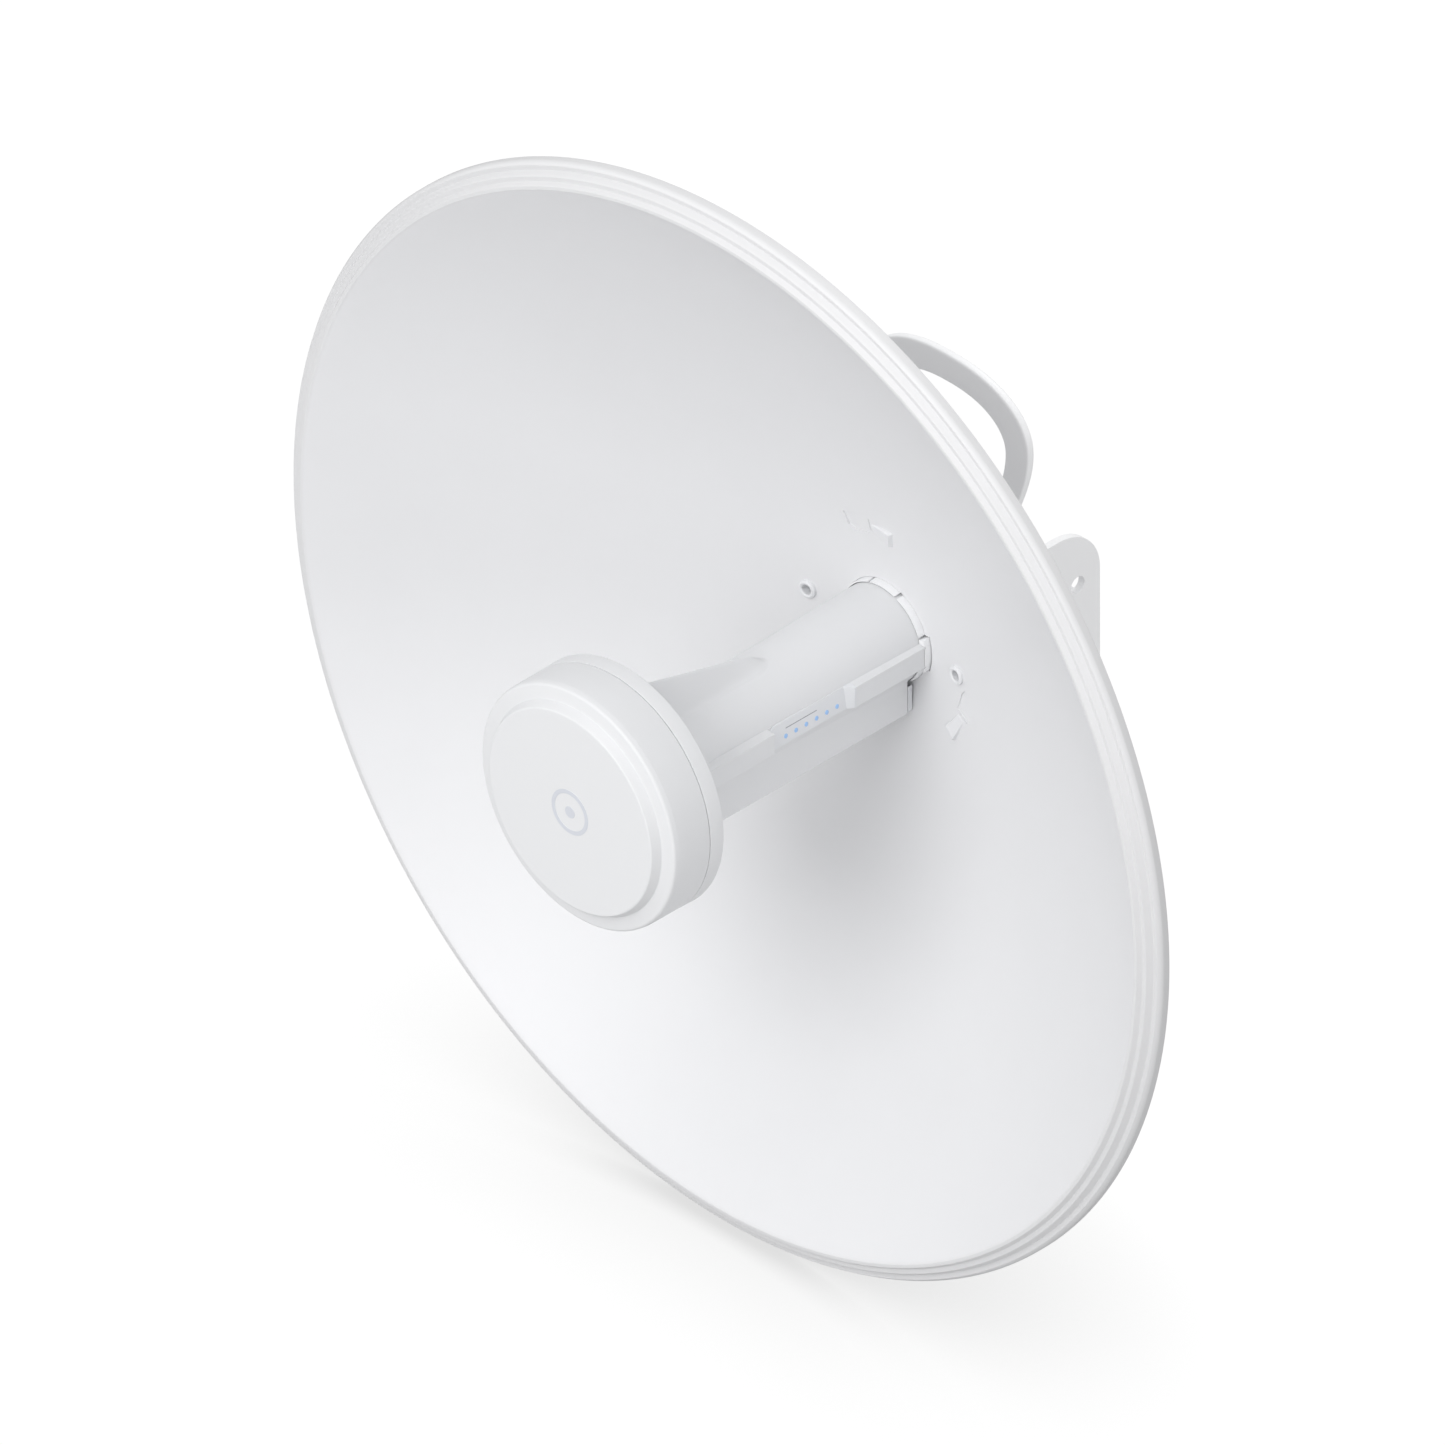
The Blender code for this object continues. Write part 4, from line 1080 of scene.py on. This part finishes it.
def base_outline():
    """The base sheet with an ear at each side: (x, z, corner radius)."""
    edge = ARM_X - OVERLAP_X
    left = [(-edge, ARM_TOP - OVERLAP_Z), (-edge, 11, 2), (-43, 11, 7), (-43, -11, 7),
            (-edge, -11, 2), (-edge, ARM_LOW + OVERLAP_Z)]
    right = [(-p[0], *p[1:]) for p in reversed(left)]
    return fillet(left + right, closed=True, steps=8)


def build_tilt_frame():
    holes = [circle(0, 0, 24.5, 96)]
    holes += [circle(x, 0, SCREW_HOLE, 32) for x in (EYELET_X, -EYELET_X)]
    bracket = plate("tilt_frame", [base_outline()] + holes, 'Y', BASE_Y, BASE_Y + SHEET)
    corner_y = ARM_REAR - ARM_CORNER
    front = BASE_Y + OVERLAP_Y
    arm = ([(front, ARM_LOW)]
           + arc(corner_y, ARM_LOW + ARM_CORNER, ARM_CORNER, 270, 360, 20)
           + arc(corner_y, ARM_TOP - ARM_CORNER, ARM_CORNER, 0, 90, 20) + [(front, ARM_TOP)])
    arm_holes = [circle(140.6, 0, 3.3), circle(*PIVOT, PIVOT_HOLE),
                 arc_slot(PIVOT, LOCK_RADIUS, 3.4, 9, 51), circle(*RIVET, RIVET_HOLE, 32)]
    merge(bracket, [plate("arm", [arm] + arm_holes, 'X', sign * (ARM_X - SHEET), sign * ARM_X)
                    for _, sign in SIDES])
    tidy(bracket.data, flatten=True)
    round_edges(bracket, 0.7, 3)
    # bright_steel: a lighter coat that stands for the light on the frame's sides, painted light
    dress(bracket, "bright_steel", "dish", "dish_bracket", sharp=45)
    even_normals(bracket)


build_tilt_frame()

# ------------------------------------------------------------------ carry loop
LOOP_LOW_Z = 22.6
LOOP_FRONT, LOOP_REAR = 105.3, 108.9


def loop_outline(top, wide, wide_z, foot, foot_z):
    """(x, z) points from foot to foot: an arch down to its widest height, then
    legs that draw in to the feet."""
    arch_steps, leg_steps = 40, 30
    points = []
    for i in range(arch_steps + 1):
        a = math.pi / 2 * (1 - i / arch_steps)
        points.append((wide * max(0.0, math.cos(a)) ** 0.86,
                       wide_z + (top - wide_z) * math.sin(a) ** 0.92))
    for i in range(1, leg_steps + 1):
        s = i / leg_steps
        ease = s * s * (3 - 2 * s) * 0.55 + s * s * 0.45
        points.append((wide + (foot - wide) * ease, wide_z + (foot_z - wide_z) * s))
    points.append((foot, LOOP_LOW_Z))
    return [(-x, z) for x, z in reversed(points[1:])] + points


def build_carry_loop():
    outer = loop_outline(top=100.2, wide=38.8, wide_z=76.0, foot=27.6, foot_z=36.0)
    inner = loop_outline(top=88.4, wide=27.3, wide_z=72.0, foot=17.6, foot_z=38.0)
    rings = []
    for outer_point, inner_point in zip(outer, inner):
        start, end = Vector(outer_point), Vector(inner_point)
        width = (start - end).length
        section = fillet([(0, LOOP_FRONT, 1.6), (width, LOOP_FRONT, 1.2),
                          (width, LOOP_REAR, 1.2), (0, LOOP_REAR, 1.6)], closed=True, steps=6)
        inwards = (end - start) / width
        ring = []
        for u, y in section:
            point = start + inwards * u
            ring.append((point.x, y, point.y))
        rings.append(ring)
    loop = make("carry_loop_body", *loft(rings, capped=True))
    lug = fillet([(103.4, 3.5, 2.5), (110.8, 3.5, 2.5), (110.8, 27.0, 2.0), (103.4, 27.0, 2.0)],
                 closed=True, steps=6)
    merge(loop, [plate("lug", [lug], 'X', sign * 21.3, sign * 24.3, bevel=0.4, segments=2)
                 for _, sign in SIDES])
    merge(loop, [rod((0, *RIVET), -40, 40, RIVET_HOLE, sides=32, axis='X')], 'DIFFERENCE')
    dress(loop, "loop_plastic", "dish", "carry_loop", sharp=45)


build_carry_loop()

# ------------------------------------------------------------------ pole bracket
WEB_REAR = 154.6
LOCK = polar(LOCK_RADIUS, 30, *PIVOT)
# side flange: (y, z, corner radius)
FLANGE = [(WEB_REAR - 0.4, -77.8), (WEB_REAR - 0.4, -16.2), (144, -16.2, 6), (110, -36, 12),
          (92, -46, 6), (91, -58, 20), (93, -69, 6), (100, -77.8, 4)]


def upright_slot(x, z, half=3.4, length=15):
    reach = length / 2 - half
    return arc(x, z + reach, half, 0, 180) + arc(x, z - reach, half, 180, 360)


def build_pole_bracket():
    slots = [upright_slot(i * 15.5, -45 + j * 19) for i in (-1, 1) for j in (-1, 1)]
    web = [(-24.3, -78), (24.3, -78), (24.3, -16), (-24.3, -16)]
    pole = plate("pole_channel", [web] + slots, 'Y', WEB_REAR - SHEET, WEB_REAR)
    loops = [fillet(FLANGE, closed=True, steps=6), circle(*PIVOT, PIVOT_HOLE),
             circle(*LOCK, LOCK_HOLE, 40)]
    merge(pole, [plate("flange", loops, 'X', sign * 21.3, sign * 24.2) for _, sign in SIDES])
    tidy(pole.data, flatten=True)
    round_edges(pole, 0.6, 3)
    dress(pole, "painted_steel", "pole_mount", "pole_bracket", sharp=45)
    even_normals(pole)


build_pole_bracket()

# ------------------------------------------------------------------ bolts and rivets
SEAT_X = 29.0                        # under the bolt heads and nuts
WASHER_NEAR, WASHER_FAR = 27.9, 28.75


def turned_corners(across, thickness):
    """A turned profile that takes the outer corners off a hexagon."""
    corner, top = across / math.sqrt(3), SEAT_X + thickness
    return [(0, 28), (corner * 1.2, 28), (corner * 1.2, top - 1.1),
            (across / 2 - 0.2, top + 0.02), (0, top + 0.02)]


def thread_profile(radius, end):
    """The threaded shank, from its left end to just inside the head."""
    pitch = 1.25 if radius > 3.5 else 1.0
    crest, root = radius - 0.03, radius - 0.55
    profile = [(0, end), (radius - 0.7, end)]
    x = end + 0.6
    while x < end + 16:
        profile += [(crest, x), (crest, x + pitch * 0.12), (root, x + pitch * 0.5),
                    (root, x + pitch * 0.62)]
        x += pitch
    return profile + [(crest, x), (crest, SEAT_X + 0.4), (0, SEAT_X + 0.4)]


def build_bolt(prefix, at, radius, across, head, nut, washer_radius):
    """A bolt with its head to the right, its nut to the left and two washers.
    at is (y, z); across is over the flats; head and nut are thicknesses."""
    centre = (0, *at)
    hexagon = [polar(across / math.sqrt(3), 60 * i, *at) for i in range(6)]
    screw = plate(prefix + "_screw", [hexagon], 'X', SEAT_X, SEAT_X + head)
    merge(screw, [lathe("corners", turned_corners(across, head), steps=72, axis='X',
                        at=centre)], 'INTERSECT')
    shank = thread_profile(radius, -(SEAT_X + nut + 2.5))
    merge(screw, [lathe("shank", shank, steps=56, axis='X', at=centre)])
    dress(screw, "zinc_steel", "pole_mount", prefix + "_bolt")

    hex_nut = plate(prefix + "_hex_nut", [hexagon, circle(*at, radius + 0.02)], 'X',
                    -(SEAT_X + nut), -SEAT_X)
    corners = [(r, -x) for r, x in reversed(turned_corners(across, nut))]
    merge(hex_nut, [lathe("corners", corners, steps=72, axis='X', at=centre)], 'INTERSECT')
    dress(hex_nut, "zinc_steel", "pole_mount", prefix + "_nut")

    for side, sign in SIDES:
        left, right = sorted((sign * WASHER_NEAR, sign * WASHER_FAR))
        profile = fillet([(radius + 0.3, left, 0.1), (washer_radius, left, 0.25),
                          (washer_radius, right, 0.25), (radius + 0.3, right, 0.1)],
                         closed=True, steps=3)
        lathe(f"{prefix}_ring_{side}", profile, "zinc_steel", "pole_mount",
              f"{prefix}_washer_{side}", steps=72, axis='X', at=centre)


build_bolt("pivot", PIVOT, radius=4.0, across=13.0, head=5.3, nut=6.5, washer_radius=8.0)
build_bolt("lock", LOCK, radius=3.0, across=10.0, head=4.0, nut=5.0, washer_radius=6.0)

# (radius, distance from the middle, corner radius)
RIVET_PROFILE = [
    (0, 19.4), (3.4, 19.4, 0.5), (3.4, 21.0, 0.2), (2.0, 21.0), (2.0, 27.9), (4.0, 27.9, 0.2),
    (3.9, 28.7, 0.6), (2.2, 29.6, 1.4), (0, 29.65)]
for side, sign in SIDES:
    profile = [(r, sign * x) for r, x in fillet(RIVET_PROFILE, steps=6)]
    lathe("rivet_" + side, profile, "zinc_steel", "dish", "loop_rivet_" + side, steps=48,
          axis='X', at=(0, *RIVET))


# ------------------------------------------------------------------ stage
def floor_material():
    """Grey to the light, but seen by the camera as white with a soft contact shadow."""
    mat = bpy.data.materials.new("floor_white")
    mat.use_nodes = True
    tree = mat.node_tree
    bsdf = tree.nodes["Principled BSDF"]
    set_inputs(bsdf, {"Base Color": (0.50, 0.50, 0.502, 1), "Roughness": 0.95,
                      "Specular IOR Level": 0.0})
    path = add_node(tree, "LightPath")
    near = add_node(tree, "AmbientOcclusion", {"Distance": 0.11}, samples=16)
    level = add_node(tree, "MapRange", {"From Min": 0.35, "From Max": 0.97, "To Min": 0.74,
                                        "To Max": 1.02, "Value": near.outputs["AO"]})
    glow = add_node(tree, "Emission", {"Strength": level.outputs[0]})
    both = add_node(tree, "MixShader", {0: path.outputs["Is Camera Ray"],
                                        1: bsdf.outputs[0], 2: glow.outputs[0]})
    set_inputs(tree.nodes["Material Output"], {"Surface": both.outputs[0]})
    return mat


def build_floor():
    floor_z = place(0, 0, -RIM_RADIUS).z - 0.0002
    bpy.ops.mesh.primitive_plane_add(size=60, location=(0, 0, floor_z))
    floor = bpy.context.active_object
    floor.name = "floor"
    floor.data.materials.append(floor_material())


def build_world():
    """A soft white studio, brighter to the camera than to the pieces."""
    world = bpy.data.worlds.new("studio")
    scene.world = world
    world.use_nodes = True
    tree = world.node_tree
    path = add_node(tree, "LightPath")
    level = add_node(tree, "MapRange", {"To Min": 0.765, "To Max": 1.02,
                                        "Value": path.outputs["Is Camera Ray"]})
    set_inputs(tree.nodes["Background"], {"Color": (0.99, 0.993, 1.0, 1),
                                          "Strength": level.outputs[0]})


LIGHT_DISTANCE = 3.0                 # metres from the dish centre


def add_light(name, direction, size, level):
    """A disk light; level is the share of full white it adds on a facing surface."""
    light = bpy.data.lights.new(name, 'AREA')
    light.shape = 'DISK'
    light.size = size
    light.energy = level * math.pi ** 2 * LIGHT_DISTANCE ** 2
    obj = bpy.data.objects.new(name, light)
    scene.collection.objects.link(obj)
    obj.location = place(0, 0, 0) + Vector(direction).normalized() * LIGHT_DISTANCE
    obj.rotation_euler = (-Vector(direction)).to_track_quat('-Z', 'Y').to_euler()


build_floor()
build_world()
add_light("key", direction=(0.10, -0.84, 0.53), size=1.7, level=0.33)
add_light("high", direction=(0.02, -0.50, 0.87), size=2.2, level=0.16)
add_light("side", direction=(0.94, -0.30, 0.14), size=1.6, level=0.10)
add_light("rear_top", direction=(-0.12, 0.5, 0.8), size=1.6, level=0.18)

# ------------------------------------------------------------------ camera
VIEW_WIDTH = 493.848257              # mm
VIEW_RIGHT, VIEW_UP = -2.5290499, -0.8920027   # mm, view centre from the dish centre
CAMERA_DISTANCE = 3.0                # metres


def build_camera():
    """An orthographic view from the front right and above, on a cube's diagonal."""
    backwards = Vector((1, -1, 1)).normalized()
    right = Vector((1, 1, 0)).normalized()
    up = backwards.cross(right)
    target = place(0, 0, 0) + right * (VIEW_RIGHT * MM) + up * (VIEW_UP * MM)
    camera = bpy.data.cameras.new("camera")
    camera.type = 'ORTHO'
    camera.ortho_scale = VIEW_WIDTH * MM
    camera.clip_start = 0.01
    camera.clip_end = 60
    obj = bpy.data.objects.new("camera", camera)
    scene.collection.objects.link(obj)
    obj.location = target + backwards * CAMERA_DISTANCE
    obj.rotation_mode = 'QUATERNION'
    obj.rotation_quaternion = (-backwards).to_track_quat('-Z', 'Y')
    scene.camera = obj


build_camera()
scene.view_settings.view_transform = 'Standard'
scene.view_settings.look = 'None'
scene.view_settings.exposure = 0.0
scene.view_settings.gamma = 1.0
